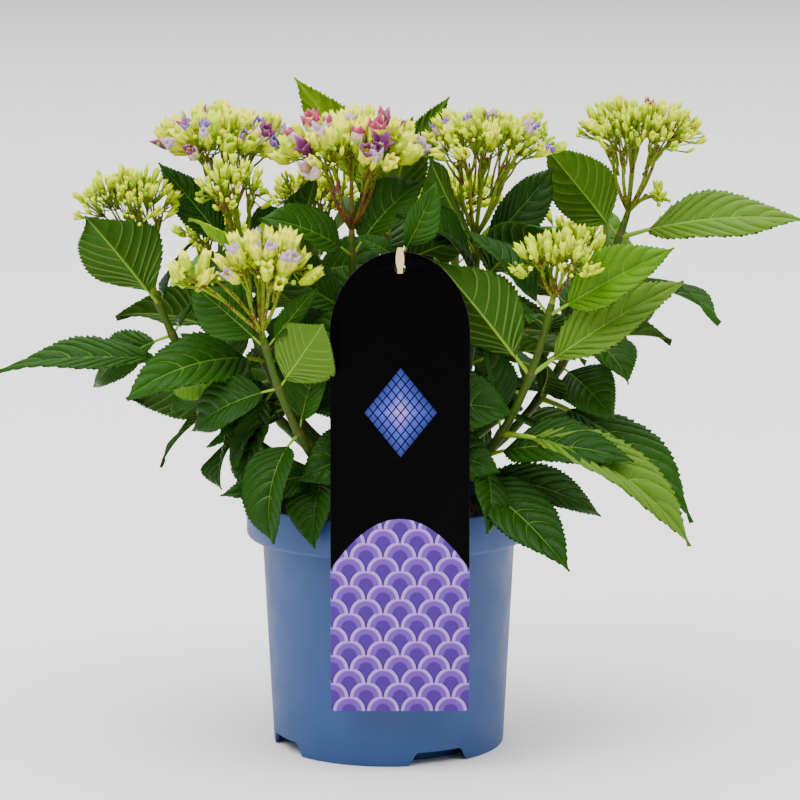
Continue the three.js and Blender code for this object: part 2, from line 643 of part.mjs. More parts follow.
// The moulded clip: a ring round the front shoot, a strap up behind the label and over its top edge,
// and a peg through its hole.
function makeClip() {
  const front = SHOOTS.find(({ name }) => name === "label");
  const { centre } = shootPath(front)(CLIP.ringAt);
  const { width, thickness, ringRoom, ringWall, ringHeight, lift, pegRadius } = CLIP;
  const inner = STEM.tipRadius + (1 - CLIP.ringAt) * (STEM.rootRadius - STEM.tipRadius) + ringRoom;
  const ringShape = new THREE.Shape().absarc(0, 0, inner + ringWall, 0, 2 * Math.PI);
  ringShape.holes.push(new THREE.Path().absarc(0, 0, inner, 0, 2 * Math.PI, true));
  const ring = new THREE.ExtrudeGeometry(ringShape, {
    depth: ringHeight,
    bevelEnabled: false,
    curveSegments: 7,
  });
  ring.translate(centre.x, centre.y, centre.z - ringHeight / 2);

  const back = LABEL.frontY + LABEL.thickness + CLEARANCE + 0.5;
  const face = LABEL.frontY - CLEARANCE;
  const top = LABEL.topHeight + lift + thickness;
  const peg = LABEL.topHeight - LABEL.holeDrop;
  const armTop = centre.z + thickness / 2;
  const strapShape = new THREE.Shape([
    new THREE.Vector2(centre.y - inner - 0.4, armTop - thickness),
    new THREE.Vector2(centre.y - inner - 0.4, armTop),
    new THREE.Vector2(back + thickness, armTop),
    new THREE.Vector2(back + thickness, top),
    new THREE.Vector2(face - thickness, top),
    new THREE.Vector2(face - thickness, peg - pegRadius),
    new THREE.Vector2(face, peg - pegRadius),
    new THREE.Vector2(face, top - thickness),
    new THREE.Vector2(back, top - thickness),
    new THREE.Vector2(back, armTop - thickness),
  ]);
  const strap = new THREE.ExtrudeGeometry(strapShape, { depth: width, bevelEnabled: false });
  strap.applyMatrix4(new THREE.Matrix4().set(
    0, 0, 1, LABEL.centreX - width / 2,
    1, 0, 0, 0,
    0, 1, 0, 0,
    0, 0, 0, 1,
  ));
  const pegLength = thickness + CLEARANCE + LABEL.thickness + 0.4;
  const pin = new THREE.CylinderGeometry(pegRadius, pegRadius, pegLength, 10);
  pin.translate(LABEL.centreX, face - thickness / 2 + pegLength / 2, peg);
  return fused([solidOf(ring), solidOf(strap), solidOf(pin)]);
}

// ---------------------------------------------------------------- the whole

const MATERIALS = {
  pot: { color: 0x4a72a8, roughness: 0.55 },
  soil: { color: 0x1d1712, roughness: 1.0 },
  crown: { color: 0x6b5138, roughness: 0.9 },
  bough: { color: 0x7c8a3a, roughness: 0.7 },
  leaves: { color: 0x3c7426, roughness: 0.6 },
  flowers: { color: 0xc9d67a, roughness: 0.7 },
  card: { color: 0x101014, roughness: 0.4 },
  clip: { color: 0xe9e2c8, roughness: 0.5 },
};

function meshOf(name, solid, material) {
  const { vertProperties, triVerts, numProp } = solid.getMesh();
  const geometry = new THREE.BufferGeometry();
  const corners = new Float32Array((vertProperties.length / numProp) * 3);
  for (let i = 0; i * numProp < vertProperties.length; i += 1) {
    corners.set(vertProperties.subarray(i * numProp, i * numProp + 3), i * 3);
  }
  geometry.setAttribute("position", new THREE.BufferAttribute(corners, 3));
  geometry.setIndex(new THREE.BufferAttribute(triVerts, 1));
  geometry.computeVertexNormals();
  const mesh = new THREE.Mesh(
    geometry,
    new THREE.MeshStandardMaterial({ ...MATERIALS[material], metalness: 0 }),
  );
  mesh.name = name;
  return mesh;
}

function makePlant() {
  const plant = new THREE.Group();
  plant.name = "potted_hydrangea";
  const pot = makePot();
  const soil = makeSoil();
  const card = makeLabel();
  const clip = makeClip();
  const crown = makeCrown(0);
  plant.add(
    meshOf("pot", pot, "pot"),
    meshOf("potting_soil", soil, "soil"),
    meshOf("crown", crown, "crown"),
    meshOf("label_card", card, "card"),
    meshOf("label_clip", clip, "clip"),
  );
  for (const { name, bough, leaves, flowers } of growPlant(makeCrown(CLEARANCE),
    [pot, soil, card, clip, crown])) {
    plant.add(meshOf(`bough_${name}`, bough, "bough"));
    plant.add(meshOf(`leaves_${name}`, leaves, "leaves"));
    if (flowers) {
      plant.add(meshOf(`flowers_${name}`, flowers, "flowers"));
    }
  }
  return plant;
}

export default makePlant();
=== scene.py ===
"""A potted hydrangea in bud: nursery pot, potting mix, woody crown, shoots, leaves, flower heads and
the hanging label. Sizes in the tables are millimetres; +Z is up and -Y is the front."""

import math

import bmesh
import bpy
import numpy as np
from bpy.props import FloatProperty, FloatVectorProperty, IntProperty, PointerProperty
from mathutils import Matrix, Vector, kdtree


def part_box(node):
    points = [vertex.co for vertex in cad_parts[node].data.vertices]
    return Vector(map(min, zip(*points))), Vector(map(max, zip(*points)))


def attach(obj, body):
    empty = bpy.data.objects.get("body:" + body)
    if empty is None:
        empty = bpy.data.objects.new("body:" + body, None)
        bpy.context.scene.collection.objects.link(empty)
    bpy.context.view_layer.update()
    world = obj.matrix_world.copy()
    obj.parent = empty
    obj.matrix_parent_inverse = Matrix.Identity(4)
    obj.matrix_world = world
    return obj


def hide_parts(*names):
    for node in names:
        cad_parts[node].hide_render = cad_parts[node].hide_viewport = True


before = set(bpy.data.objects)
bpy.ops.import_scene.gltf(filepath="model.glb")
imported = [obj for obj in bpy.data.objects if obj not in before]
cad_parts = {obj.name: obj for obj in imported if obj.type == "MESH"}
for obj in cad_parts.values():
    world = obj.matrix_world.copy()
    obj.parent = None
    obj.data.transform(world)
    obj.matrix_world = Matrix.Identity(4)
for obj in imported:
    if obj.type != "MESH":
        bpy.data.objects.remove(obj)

bl_info = {
    "name": "Potted hydrangea in bud",
    "version": (1, 0, 0),
    "blender": (4, 5, 0),
    "location": "3D View > Sidebar > Hydrangea",
    "description": "Builds a hydrangea shrub in its nursery pot, piece by piece",
    "category": "Add Mesh",
}

MM = 0.001
FULL_TURN = 2 * math.pi
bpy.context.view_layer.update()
POT_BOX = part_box("pot")


# ------------------------------------------------------------------ colours and materials

def linear(hex_colour):
    """An sRGB hex value such as "4A72A8" as linear red, green, blue and 1."""
    channels = [int(hex_colour[i:i + 2], 16) / 255 for i in (0, 2, 4)]
    return tuple(c / 12.92 if c <= 0.04045 else ((c + 0.055) / 1.055) ** 2.4 for c in channels) + (1.0,)


def opaque(colour):
    """A colour property's value as red, green, blue and 1."""
    return tuple(colour[:3]) + (1.0,)


def mixed(one, other, share):
    """Two linear colours mixed."""
    return tuple(a * (1 - share) + b * share for a, b in zip(one, other))


def add_node(tree, kind, inputs=None, stops=(), **settings):
    """Adds a node with its settings and a ramp's (position, colour) stops. Each input is set to a value,
    or linked to a socket or to the first output of another node."""
    made = tree.nodes.new(kind)
    for key, value in settings.items():
        setattr(made, key, value)
    if stops:
        elements = made.color_ramp.elements
        while len(elements) < len(stops):
            elements.new(0.5)
        for element, (position, colour) in zip(elements, stops):
            element.position = position
            element.color = colour
    for key, value in (inputs or {}).items():
        if isinstance(value, bpy.types.Node):
            value = value.outputs[0]
        if isinstance(value, bpy.types.NodeSocket):
            tree.links.new(value, made.inputs[key])
        else:
            made.inputs[key].default_value = value
    return made


def new_material(name):
    """A material with an empty node tree, and the coordinates that its patterns read."""
    material = bpy.data.materials.new(name)
    material.use_nodes = True
    tree = material.node_tree
    tree.nodes.clear()
    return material, tree, add_node(tree, "ShaderNodeTexCoord").outputs["Object"]


def surfaced(material, height, strength, distance, inputs):
    """Ends a material: a shader with its inputs, under a relief that a pattern's height gives."""
    tree = material.node_tree
    relief = add_node(tree, "ShaderNodeBump", {"Height": height, "Strength": strength, "Distance": distance})
    shader = add_node(tree, "ShaderNodeBsdfPrincipled", {"Normal": relief, **inputs})
    add_node(tree, "ShaderNodeOutputMaterial", {"Surface": shader})
    return material


def plain_living_skin(name, colour, roughness, grain=0.00028, cell=0.0011, gloss=0.3, depth=0.0):
    """Living tissue in one base colour. Its cells give a fine dimpled gloss, and light enters it by depth."""
    material, tree, place = new_material(name)
    cells = add_node(tree, "ShaderNodeTexVoronoi", {"Vector": place, "Scale": 1 / cell, "Randomness": 0.9})
    inputs = {"Base Color": colour, "Roughness": roughness, "IOR": 1.42, "Specular IOR Level": gloss}
    if depth:
        inputs.update({"Subsurface Weight": 0.4, "Subsurface Radius": (1.0, 0.85, 0.2),
                       "Subsurface Scale": depth})
    return surfaced(material, cells, 0.55, grain, inputs)


def moulded_polypropylene(name, colour, roughness=0.5):
    """Injection-moulded polypropylene: an even tint with a satin skin and a very fine orange-peel grain."""
    material, tree, place = new_material(name)
    clouds = add_node(tree, "ShaderNodeTexNoise", {"Vector": place, "Scale": 14.0, "Detail": 2.0})
    tint = add_node(tree, "ShaderNodeValToRGB", {"Fac": clouds}, [
        (0.3, opaque([c * 0.93 for c in colour])), (0.7, colour)])
    # Mould grain is about 0.3 mm across; 0.9 mm is the finest that still shows.
    peel = add_node(tree, "ShaderNodeTexNoise", {"Vector": place, "Scale": 1100.0, "Detail": 1.0})
    worn = add_node(tree, "ShaderNodeTexNoise", {"Vector": place, "Scale": 45.0, "Detail": 3.0})
    rough = add_node(tree, "ShaderNodeMapRange", {
        "Value": worn, "From Min": 0.3, "From Max": 0.7,
        "To Min": roughness - 0.05, "To Max": roughness + 0.06})
    return surfaced(material, peel, 0.25, 0.00012, {"Base Color": tint, "IOR": 1.49, "Roughness": rough})


def moist_peat(name):
    """Potting mix: near-black peat fibre with brown crumbs, matt and loose."""
    material, tree, place = new_material(name)
    crumbs = add_node(tree, "ShaderNodeTexVoronoi", {"Vector": place, "Scale": 330.0})
    tint = add_node(tree, "ShaderNodeValToRGB", {"Fac": crumbs}, [
        (0.0, linear("120C08")), (0.5, linear("2A1D13")), (1.0, linear("4A3524"))])
    fibre = add_node(tree, "ShaderNodeTexNoise", {"Vector": place, "Scale": 420.0, "Detail": 4.0})
    return surfaced(material, fibre, 0.9, 0.0012, {"Base Color": tint, "Roughness": 0.92})


def flaking_bark(name):
    """Old hydrangea wood: grey-brown bark that splits lengthwise into strips about 2 mm wide."""
    material, tree, place = new_material(name)
    drawn = add_node(tree, "ShaderNodeMapping", {"Vector": place, "Scale": (1.0, 1.0, 0.22)})
    strips = add_node(tree, "ShaderNodeTexNoise", {
        "Vector": drawn, "Scale": 420.0, "Detail": 5.0, "Roughness": 0.65})
    tint = add_node(tree, "ShaderNodeValToRGB", {"Fac": strips}, [
        (0.3, linear("3A2A1C")), (0.52, linear("6F563B")), (0.75, linear("A08A66"))])
    return surfaced(material, strips, 0.8, 0.0009, {"Base Color": tint, "Roughness": 0.88})


def speckled_stem(name, ground, speck, threshold):
    """Soft green wood: a waxy satin skin with small corky brown specks, about 1 mm long."""
    material, tree, place = new_material(name)
    drawn = add_node(tree, "ShaderNodeMapping", {"Vector": place, "Scale": (1.0, 1.0, 0.45)})
    grains = add_node(tree, "ShaderNodeTexNoise", {"Vector": drawn, "Scale": 900.0, "Detail": 1.0})
    drift = add_node(tree, "ShaderNodeTexNoise", {"Vector": place, "Scale": 60.0, "Detail": 2.0})
    # Specks gather where both noises are high; each has its middle at a half.
    middle = add_node(tree, "ShaderNodeMath", {0: grains, 1: 0.5}, operation="SUBTRACT")
    mottled = add_node(tree, "ShaderNodeMath", {0: middle, 1: drift}, operation="ADD")
    tint = add_node(tree, "ShaderNodeValToRGB", {"Fac": mottled}, [
        (0.0, ground), (threshold, ground), (threshold + 0.05, speck), (1.0, speck)])
    return surfaced(material, grains, 0.4, 0.0003, {
        "Base Color": tint, "Roughness": 0.52, "Specular IOR Level": 0.18})


def printed_card(name, looks):
    """Printed and varnished plastic card: black ground, rows of violet scallops under a curved top edge
    and a small blue lozenge lattice above them."""
    material, tree, place = new_material(name)
    split = add_node(tree, "ShaderNodeSeparateXYZ", {"Vector": place})
    step = looks.scallop_width
    rise = step * 0.42
    lattice = looks.lozenge_size / 4
    sums = [("x", "SUBTRACT", split.outputs["X"], looks.centre_x),
            ("z", "SUBTRACT", split.outputs["Z"], looks.top_height - looks.height),
            ("columns", "DIVIDE", "x", step), ("rows", "DIVIDE", "z", rise)]
    # Scallops: each row is half a scallop to the side of the one below it, and overlaps it.
    for row, offset in (("behind ", 1.0), ("before ", 0.0)):
        sums += [(row + "level", "SUBTRACT", "rows", offset),
                 (row + "number", "FLOOR", row + "level"),
                 (row + "odd", "PINGPONG", row + "number", 1.0),
                 (row + "shift", "MULTIPLY", row + "odd", 0.5),
                 (row + "shifted", "ADD", "columns", row + "shift"),
                 (row + "part", "FRACT", row + "shifted"),
                 (row + "across", "SUBTRACT", row + "part", 0.5),
                 (row + "height", "SUBTRACT", row + "level", row + "number"),
                 (row + "up", "MULTIPLY", row + "height", rise / step),
                 (row + "across squared", "MULTIPLY", row + "across", row + "across"),
                 (row + "up squared", "MULTIPLY", row + "up", row + "up"),
                 (row + "squared", "ADD", row + "across squared", row + "up squared"),
                 (row + "far", "SQRT", row + "squared")]
    sums += [("covered", "LESS_THAN", "before far", 0.5),
             ("peeping", "SUBTRACT", "behind far", 0.42),
             # The scalloped field ends under a low arch.
             ("x squared", "MULTIPLY", "x", "x"),
             ("fall", "MULTIPLY", "x squared", looks.field_arch),
             ("arch", "SUBTRACT", looks.field_height, "fall"),
             ("in field", "LESS_THAN", "z", "arch"),
             # The lozenge: a diamond cut into a lattice of smaller ones.
             ("aside", "ABSOLUTE", "x"),
             ("over", "SUBTRACT", "z", looks.lozenge_height),
             ("off", "ABSOLUTE", "over"),
             ("wide", "DIVIDE", "aside", looks.lozenge_size),
             ("high", "DIVIDE", "off", looks.lozenge_size * 1.25),
             ("diamond", "ADD", "wide", "high"),
             ("slope", "MULTIPLY", "over", 0.8)]
    for way in ("ADD", "SUBTRACT"):
        sums += [(way + " slant", way, "x", "slope"),
                 (way + " lines", "DIVIDE", way + " slant", lattice),
                 (way + " part", "FRACT", way + " lines"),
                 (way + " pane", "GREATER_THAN", way + " part", 0.16)]
    sums += [("pane", "MULTIPLY", "ADD pane", "SUBTRACT pane"),
             ("inside", "LESS_THAN", "diamond", 1.0),
             ("in diamond", "MULTIPLY", "inside", "pane")]
    known = {}
    for made, operation, *inputs in sums:
        inputs = {i: known[one] if isinstance(one, str) else one for i, one in enumerate(inputs)}
        known[made] = add_node(tree, "ShaderNodeMath", inputs, operation=operation)
    shown = add_node(tree, "ShaderNodeMix", {
        0: known["covered"], 2: known["peeping"], 3: known["before far"]}, data_type="FLOAT")
    bands = add_node(tree, "ShaderNodeValToRGB", {"Fac": shown}, [
        (0.0, opaque(looks.violet_deep)), (0.2, opaque(looks.violet_deep)),
        (0.24, opaque(looks.violet)), (0.36, opaque(looks.violet)),
        (0.40, opaque(looks.violet_pale)), (0.46, opaque(looks.violet_pale)),
        (0.49, opaque(looks.violet_dark)), (1.0, opaque(looks.violet_dark))])
    blues = add_node(tree, "ShaderNodeValToRGB", {"Fac": known["diamond"]}, [
        (0.0, opaque(looks.violet_pale)), (0.45, opaque(looks.blue)), (1.0, opaque(looks.blue_deep))])
    printed = opaque(looks.ground)
    for part, print_on in (("in field", bands), ("in diamond", blues)):
        printed = add_node(tree, "ShaderNodeMix", {0: known[part], 6: printed, 7: print_on},
                           data_type="RGBA").outputs[2]
    ripple = add_node(tree, "ShaderNodeTexNoise", {"Vector": place, "Scale": 30.0, "Detail": 1.0})
    return surfaced(material, ripple, 0.2, 0.0004, {
        "Base Color": printed, "Roughness": 0.42, "IOR": 1.5, "Specular IOR Level": 0.03})


def painted_floor(name, colour):
    """Matt painted studio floor: pale and even, with the faintest roller texture."""
    material, tree, place = new_material(name)
    roller = add_node(tree, "ShaderNodeTexNoise", {"Vector": place, "Scale": 300.0, "Detail": 2.0})
    return surfaced(material, roller, 0.1, 0.0002, {"Base Color": colour, "Roughness": 0.9})


# Colours that go with the ones that a user picks.
STEM_SPECK = linear("4A2E16")
RIPE_WOOD = linear("7A6238")
RIPE_SPECK = linear("3A2814")
LEAF_SCAR = linear("5A4A24")
RAY_SPECK = linear("5E3418")
RUDDY_RAY = linear("75661A")
RUDDY_SPECK = linear("6A3420")
RAY_NODE = linear("6B4426")
CLIP_CREAM = linear("E6C88E")


# ------------------------------------------------------------------ the plant's rule

# Shoots leave the crown's axis at this reach, at one of two heights, and their parts stay this far clear.
ROOT_REACH = 11
LOW = 204
HIGH = 215
CLEARANCE = 0.3

# Sizes of the rule: a petiole's share of its leaf, a blade's half width as a share of its length, angles in
# degrees; a head's peduncle in millimetres and its bunches as shares; a stem's radii at its two ends.
LEAF = {"petiole": 0.16, "half_width": 0.37, "fold": 12, "facing": 55, "stalk": 0.016,
        "half_thickness": 0.009, "rings": (0.28, 0.62)}
FLOWER = {"peduncle": 7, "fork": 0.55, "reach": 0.62, "spread": 0.4, "turn": 20}
STEM = {"root": 4.2, "tip": 2.7}

# A leaf that found no room turned by one of these: degrees round, degrees up.
TURNS = [
    (0, 0), (6, 0), (-6, 0), (0, 7), (0, -7), (12, 4), (-12, 4), (10, -10), (-10, -10),
    (18, 8), (-18, 8), (24, -6), (-24, -6), (0, 18), (0, -18), (32, 10), (-32, 10),
]


def compass(azimuth, reach, height):
    """A point at an azimuth in degrees, a reach from the middle and a height."""
    turn = math.radians(azimuth)
    return np.array([reach * math.cos(turn), reach * math.sin(turn), height])


def unit(vector):
    """The vector's direction, one long."""
    return vector / np.linalg.norm(vector)


def dice(seed):
    """A repeatable run of numbers from 0 to 1."""
    state = seed
    while True:
        state = (state * 1664525 + 1013904223) & 0xFFFFFFFF
        yield state / 4294967296


def leaf(azimuth, rise, length, arch=45, twist=0, breadth=1):
    """A leaf: which way and how steeply it grows, its length, its arch and twist in degrees, its breadth."""
    return {"azimuth": azimuth, "rise": rise, "length": length, "arch": arch, "twist": twist,
            "breadth": breadth}


def corymb(radius, rise, dome, bunches, lean=0, azimuth=0, tint="lime"):
    """A flower head: its radius, the height of its rim over the shoot's tip, its dome and its bunches."""
    return {"radius": radius, "rise": rise, "dome": dome, "bunches": bunches, "lean": lean,
            "azimuth": azimuth, "tint": tint}


def shoot(name, root, knee, tip, leafy_from, heads, pairs):
    """A shoot: (azimuth, height) of its root, (azimuth, reach, height) of its knee and its tip, its heads,
    and its joints: each has its share of the shoot's length and its leaves."""
    ends = [compass(root[0], ROOT_REACH, root[1]), compass(*knee), compass(*tip)]
    pairs = [(at, [leaf(*one) for one in leaves]) for at, *leaves in pairs]
    return {"name": name, "azimuth": tip[0], "ends": ends, "leafy_from": leafy_from, "heads": heads,
            "pairs": pairs}


def crossed_pairs(seed, azimuth):
    """Five joints of a rear shoot, each pair of leaves square to the one below it and shorter."""
    roll = dice(seed)

    def vary(amount):
        return (next(roll) - 0.5) * 2 * amount

    joints = []
    for i in range(5):
        share = i / 4
        turn = azimuth + 90 * i + vary(12)
        size = 118 * (1 - 0.4 * share * share)
        sides = []
        for side in (0, 180):
            way = turn + side + vary(10)
            slope = -15 + 40 * share + vary(10)
            own = size * (1 + vary(0.1))
            arch = 50 + vary(15)
            sides.append((way, slope, own, arch, vary(18)))
        joints.append((0.46 + (0.95 - 0.46) * share, *sides))
    return joints


SHOOTS = [
    shoot("front_left", (228, LOW), (238, 114, 206), (228, 141, 337), 0.36,
          [corymb(40, 60, 26, 4, 2, 0, "lilac"), corymb(19, 52, 16, 2, 54, 182, "lilac")], [
              (0.42, (283, -47, 66, 50, 0, 1.1), (204, -8, 88, 30, -40, 0.6)),
              (0.65, (240, -64, 88, 90, 0, 0.95), (30, 70, 72, 30)),
              (0.84, (329, 45, 72, 10, -124, 1.3), (163, -27, 80, 50)),
              (0.97, (13, 49, 62, 15, 20, 0.5), (150, 34, 82, 30, 0, 0.95)),
          ]),
    shoot("front_right", (322, LOW), (317, 121, 206), (328, 147, 360), 0.28,
          [corymb(40, 40, 16, 4, 8, 0, "bright")], [
              (0.34, (315, -28, 128, 40, 30, 0.7), (5, -18, 114, 80, 20, 0.5)),
              (0.46, (335, 3, 126, 50, 20, 0.68), (273, -42, 74, 40, 0, 0.9)),
              (0.58, (345, -28, 170, 75, 10, 0.5), (144, 78, 84, 10, 0, 0.8)),
              (0.8, (1, 32, 138, 20, 18, 0.56), (202, 50, 124, 15, 105, 0.85)),
              (0.97, (344, 37, 112, 15, 50, 0.72), (165, 52, 92, 20, 0, 0.75)),
          ]),
    shoot("left", (180, LOW), (180, 132, 215), (181, 182, 357), 0.44,
          [corymb(44, 77, 26, 4, 22, 168, "lime")], [
              (0.5, (255, -30, 70, 50), (100, -10, 80, 40)),
              (0.62, (217, -37, 70, 40, 0, 0.9), (122, 0, 72, 40, 0, 0.9)),
              (0.78, (176, -2, 152, 30, -20, 0.48), (290, -15, 66, 40)),
              (0.88, (141, -30, 100, 50, -30, 0.7), (50, 30, 70, 30)),
              (0.97, (229, 44, 112, 10, 0, 1.02), (57, 45, 64, 30)),
          ]),
    shoot("left_rear", (160, HIGH), (168, 105, 240), (168, 128, 408), 0.44,
          [corymb(56, 77, 16, 5, 4, 180, "violet")], [
              (0.47, (230, -20, 80, 50, -85), (20, 0, 70, 50)),
              (0.55, (200, -30, 84, 50, 0, 0.9), (340, 0, 60, 40)),
              (0.63, (262, -8, 80, 40), (70, 0, 84, 45)),
              (0.75, (273, 50, 76, 30, 0), (114, 30, 92, 50)),
              (0.93, (166, 49, 94, 20, -60, 0.6), (38, 26, 66, 50)),
          ]),
    shoot("left_mid", (203, HIGH), (202, 100, 235), (201, 120, 390), 0.46,
          [corymb(33, 56, 26, 3, 9, 190, "lime")], [
              (0.52, (235, -29, 80, 50), (140, -5, 60, 40)),
              (0.61, (262, -55, 96, 40), (120, 0, 70, 40)),
              (0.7, (209, -9, 122, 66, -40, 0.76), (327, 0, 70, 50, 20)),
              (0.88, (215, 20, 70, 60, -20, 1.1), (284, 65, 66, 20)),
              (0.96, (207, 52, 66, 40), (28, 49, 70, 40)),
          ]),
    shoot("left_far", (122, HIGH), (146, 70, 250), (147, 88, 405), 0.5,
          [corymb(15, 36, 12, 2, 0, 0, "cream")], [
              (0.56, (130, 10, 90, 50), (320, 10, 60, 40)),
              (0.76, (60, 20, 80, 50), (210, 30, 60, 30)),
              (0.86, (330, 10, 84, 40, 50), (165, 10, 60, 40)),
              (0.93, (300, 72, 78, 15, 0, 0.9), (154, 42, 74, 40)),
          ]),
    shoot("centre", (254, HIGH), (245, 60, 250), (240, 56, 408), 0.4,
          [corymb(60, 74, 26, 5, 0, 0, "pink")], [
              (0.46, (192, -18, 104, 40, 20), (330, -20, 80, 50)),
              (0.54, (205, -4, 104, 45), (12, -10, 90, 50)),
              (0.66, (170, 12, 84, 40), (20, 12, 80, 50)),
              (0.78, (195, 28, 92, 40), (350, 20, 78, 50)),
              (0.95, (203, 24, 84, 45, -10, 0.9), (19, 44, 84, 50)),
          ]),
    shoot("right_mid", (346, HIGH), (348, 74, 250), (350, 69, 398), 0.38,
          [corymb(56, 89, 15, 5, 11, 0, "violet_few")], [
              (0.44, (300, -25, 96, 50), (60, 0, 90, 50)),
              (0.62, (345, 5, 96, 50), (240, 10, 84, 50)),
              (0.76, (300, 10, 90, 50), (90, 20, 80, 40)),
              (0.88, (215, 32, 112, 60, 0, 0.7), (323, 33, 98, 50)),
              (0.97, (231, 54, 102, 10, 150), (26, 50, 100, 25, 40, 0.7)),
          ]),
    shoot("right", (12, LOW), (2, 122, 215), (5, 187, 415), 0.48,
          [corymb(53, 76, 18, 5, 11, 0, "pink_few"), corymb(9, 25, 4, 1, 27, 345, "lime")], [
              (0.55, (342, -36, 156, 50, 42, 0.6), (273, 50, 70, 30)),
              (0.65, (312, -30, 70, 50, 80, 1.1), (170, 5, 76, 40)),
              (0.74, (300, -22, 78, 50, 50), (37, 10, 80, 50)),
              (0.86, (331, -12, 106, 50, 20), (89, 40, 90, 40)),
              (0.96, (356, 6, 146, 35, 45, 0.6), (158, 55, 94, 10, 60, 1)),
          ]),
    shoot("label", (283, LOW), (275, 96, 215), (275, 98, 400), 0.4, [], [
        (0.46, (215, -25, 84, 50), (345, -20, 84, 50)),
        (0.62, (185, -5, 86, 45), (0, -5, 90, 45)),
        (0.8, (170, 10, 78, 45), (12, 10, 84, 45)),
        (0.99, (24, 62, 66, 20, 40, 0.8), (204, 29, 40, 40, 0, 0.7)),
    ]),
    shoot("rear_right", (36, HIGH), (36, 130, 225), (36, 185, 345), 0.4,
          [corymb(38, 46, 16, 3, 0, 0, "lime")], crossed_pairs(11, 350)),
    shoot("rear", (62, LOW), (72, 130, 220), (72, 180, 372), 0.4,
          [corymb(42, 48, 18, 4, 0, 0, "pink_few")], crossed_pairs(23, 20)),
    shoot("rear_mid", (88, HIGH), (90, 45, 300), (92, 60, 425), 0.4, [], [
        (0.45, (100, 0, 110, 60, 0), (310, 0, 60, 50, 0)),
        (0.62, (40, 15, 90, 60, 0), (170, 15, 80, 50, 0)),
        (0.76, (110, 25, 110, 60, 0), (0, 20, 80, 50, 0)),
        (0.87, (292, 62, 116, 20, 0, 0.7), (104, 50, 94, 40, 0)),
        (0.97, (203, 54, 132, 12, 0, 0.55), (330, 58, 108, 15, 0, 0.5)),
    ]),
    shoot("rear_left", (105, LOW), (108, 130, 220), (110, 180, 372), 0.4,
          [corymb(42, 48, 18, 4, 0, 0, "pink_few")], crossed_pairs(37, 60)),
    shoot("rear_far_left", (131, LOW), (142, 135, 220), (142, 185, 352), 0.4,
          [corymb(38, 46, 16, 3, 0, 0, "lime")], crossed_pairs(41, 100)),
]


# Joints whose leaves are younger or older than their height on the shoot tells. Leaves given the 'pale' shade
# carry painted sheen: a paler green that stands for the white studio reflected in their gloss.
SHADES = {
    ("rear_mid", 0.97): ("young", "fresh"), ("rear_mid", 0.87): ("fresh", "mid"),
    ("centre", 0.95): ("mid", "mid"), ("label", 0.99): ("mid", "deep"),
    ("front_right", 0.97): ("fresh", "deep"), ("front_right", 0.8): ("pale", "mid"),
    ("front_left", 0.97): ("mid", "mid"), ("right", 0.96): ("pale", "fresh"),
    ("front_right", 0.58): ("pale", "deep"), ("right", 0.65): ("mid", "deep"),
    ("left", 0.97): ("mid", "deep"), ("left_rear", 0.93): ("deep", "mid"),
    ("right_mid", 0.97): ("mid", "deep"), ("right_mid", 0.88): ("deep", "mid"),
    ("left_mid", 0.7): ("mid", "deep"), ("front_left", 0.84): ("pale", "deep"),
    ("left_far", 0.93): ("mid", "mid"),
}


def on_shoot(one, share):
    """A point on a shoot's curve and the direction along it."""
    start, knee, tip = one["ends"]
    point = (1 - share) ** 2 * start + 2 * share * (1 - share) * knee + share ** 2 * tip
    return point, unit((1 - share) * (knee - start) + share * (tip - knee))


def turned_about(vector, axis, degrees):
    """A vector turned about a unit axis."""
    angle = math.radians(degrees)
    return (vector * math.cos(angle) + np.cross(axis, vector) * math.sin(angle)
            + axis * np.dot(axis, vector) * (1 - math.cos(angle)))


def leaf_path(base, one):
    """The midrib's arc: for an array of shares, its centres and its directions along, aside and up."""
    slope = math.radians(one["rise"])
    bend = math.radians(max(one["arch"], 1))
    way = compass(one["azimuth"], math.cos(slope), math.sin(slope))
    level = compass(one["azimuth"] - 90, 1, 0)
    outward = unit(np.array([base[0], base[1], 0.0]))
    facing = LEAF["facing"] * np.dot(level, outward) + one["twist"]
    side = turned_about(level, way, facing)
    up = np.cross(side, way)
    radius = one["length"] / (2 * math.sin(bend / 2))

    def at(shares):
        pitch = (bend / 2 - bend * np.asarray(shares, float))[..., None]
        forward = radius * (math.sin(bend / 2) - np.sin(pitch))
        lift = radius * (np.cos(pitch) - math.cos(bend / 2))
        centre = base + way * forward + up * lift
        along = way * np.cos(pitch) + up * np.sin(pitch)
        return centre, along, side, np.cross(side, along)

    return at


def blade_outline(share):
    """Half the width of a blade at a share of its length, from 0 at either end to 1 at its widest."""
    widest = 0.4 ** 0.7 * 0.6 ** 1.05
    return np.clip(share, 0, 1) ** 0.7 * np.clip(1 - share, 0, 1) ** 1.05 / widest


def drawn_outline(share):
    """The same blade with a base that runs down into its petiole."""
    widest = 0.405 ** 0.85 * 0.595 ** 1.25
    return np.clip(share, 0, 1) ** 0.85 * np.clip(1 - share, 0, 1) ** 1.25 / widest


def solid_corners(base, one):
    """The corners that tell a grown leaf's solid: its tip, and the sides of its two widest rings."""
    path = leaf_path(base, one)
    fold = math.radians(LEAF["fold"])
    blade = (1 - LEAF["petiole"]) * one["length"]
    depth = LEAF["half_thickness"] * one["length"]
    corners = [path(1.0)[0]]
    for ring in LEAF["rings"]:
        centre, _, side, up = path(LEAF["petiole"] + (1 - LEAF["petiole"]) * ring)
        width = LEAF["half_width"] * blade * one["breadth"] * float(blade_outline(ring))
        for sign in (-1, 1):
            corners.append(centre + side * sign * width * math.cos(fold) + up * width * math.sin(fold))
            corners.append(centre + up * sign * depth)
    return corners


# A leaf is found by at least so many of its solid's nine corners, each within this distance in metres.
FEWEST_CORNERS = 4
CORNER_MATCH = 0.00006


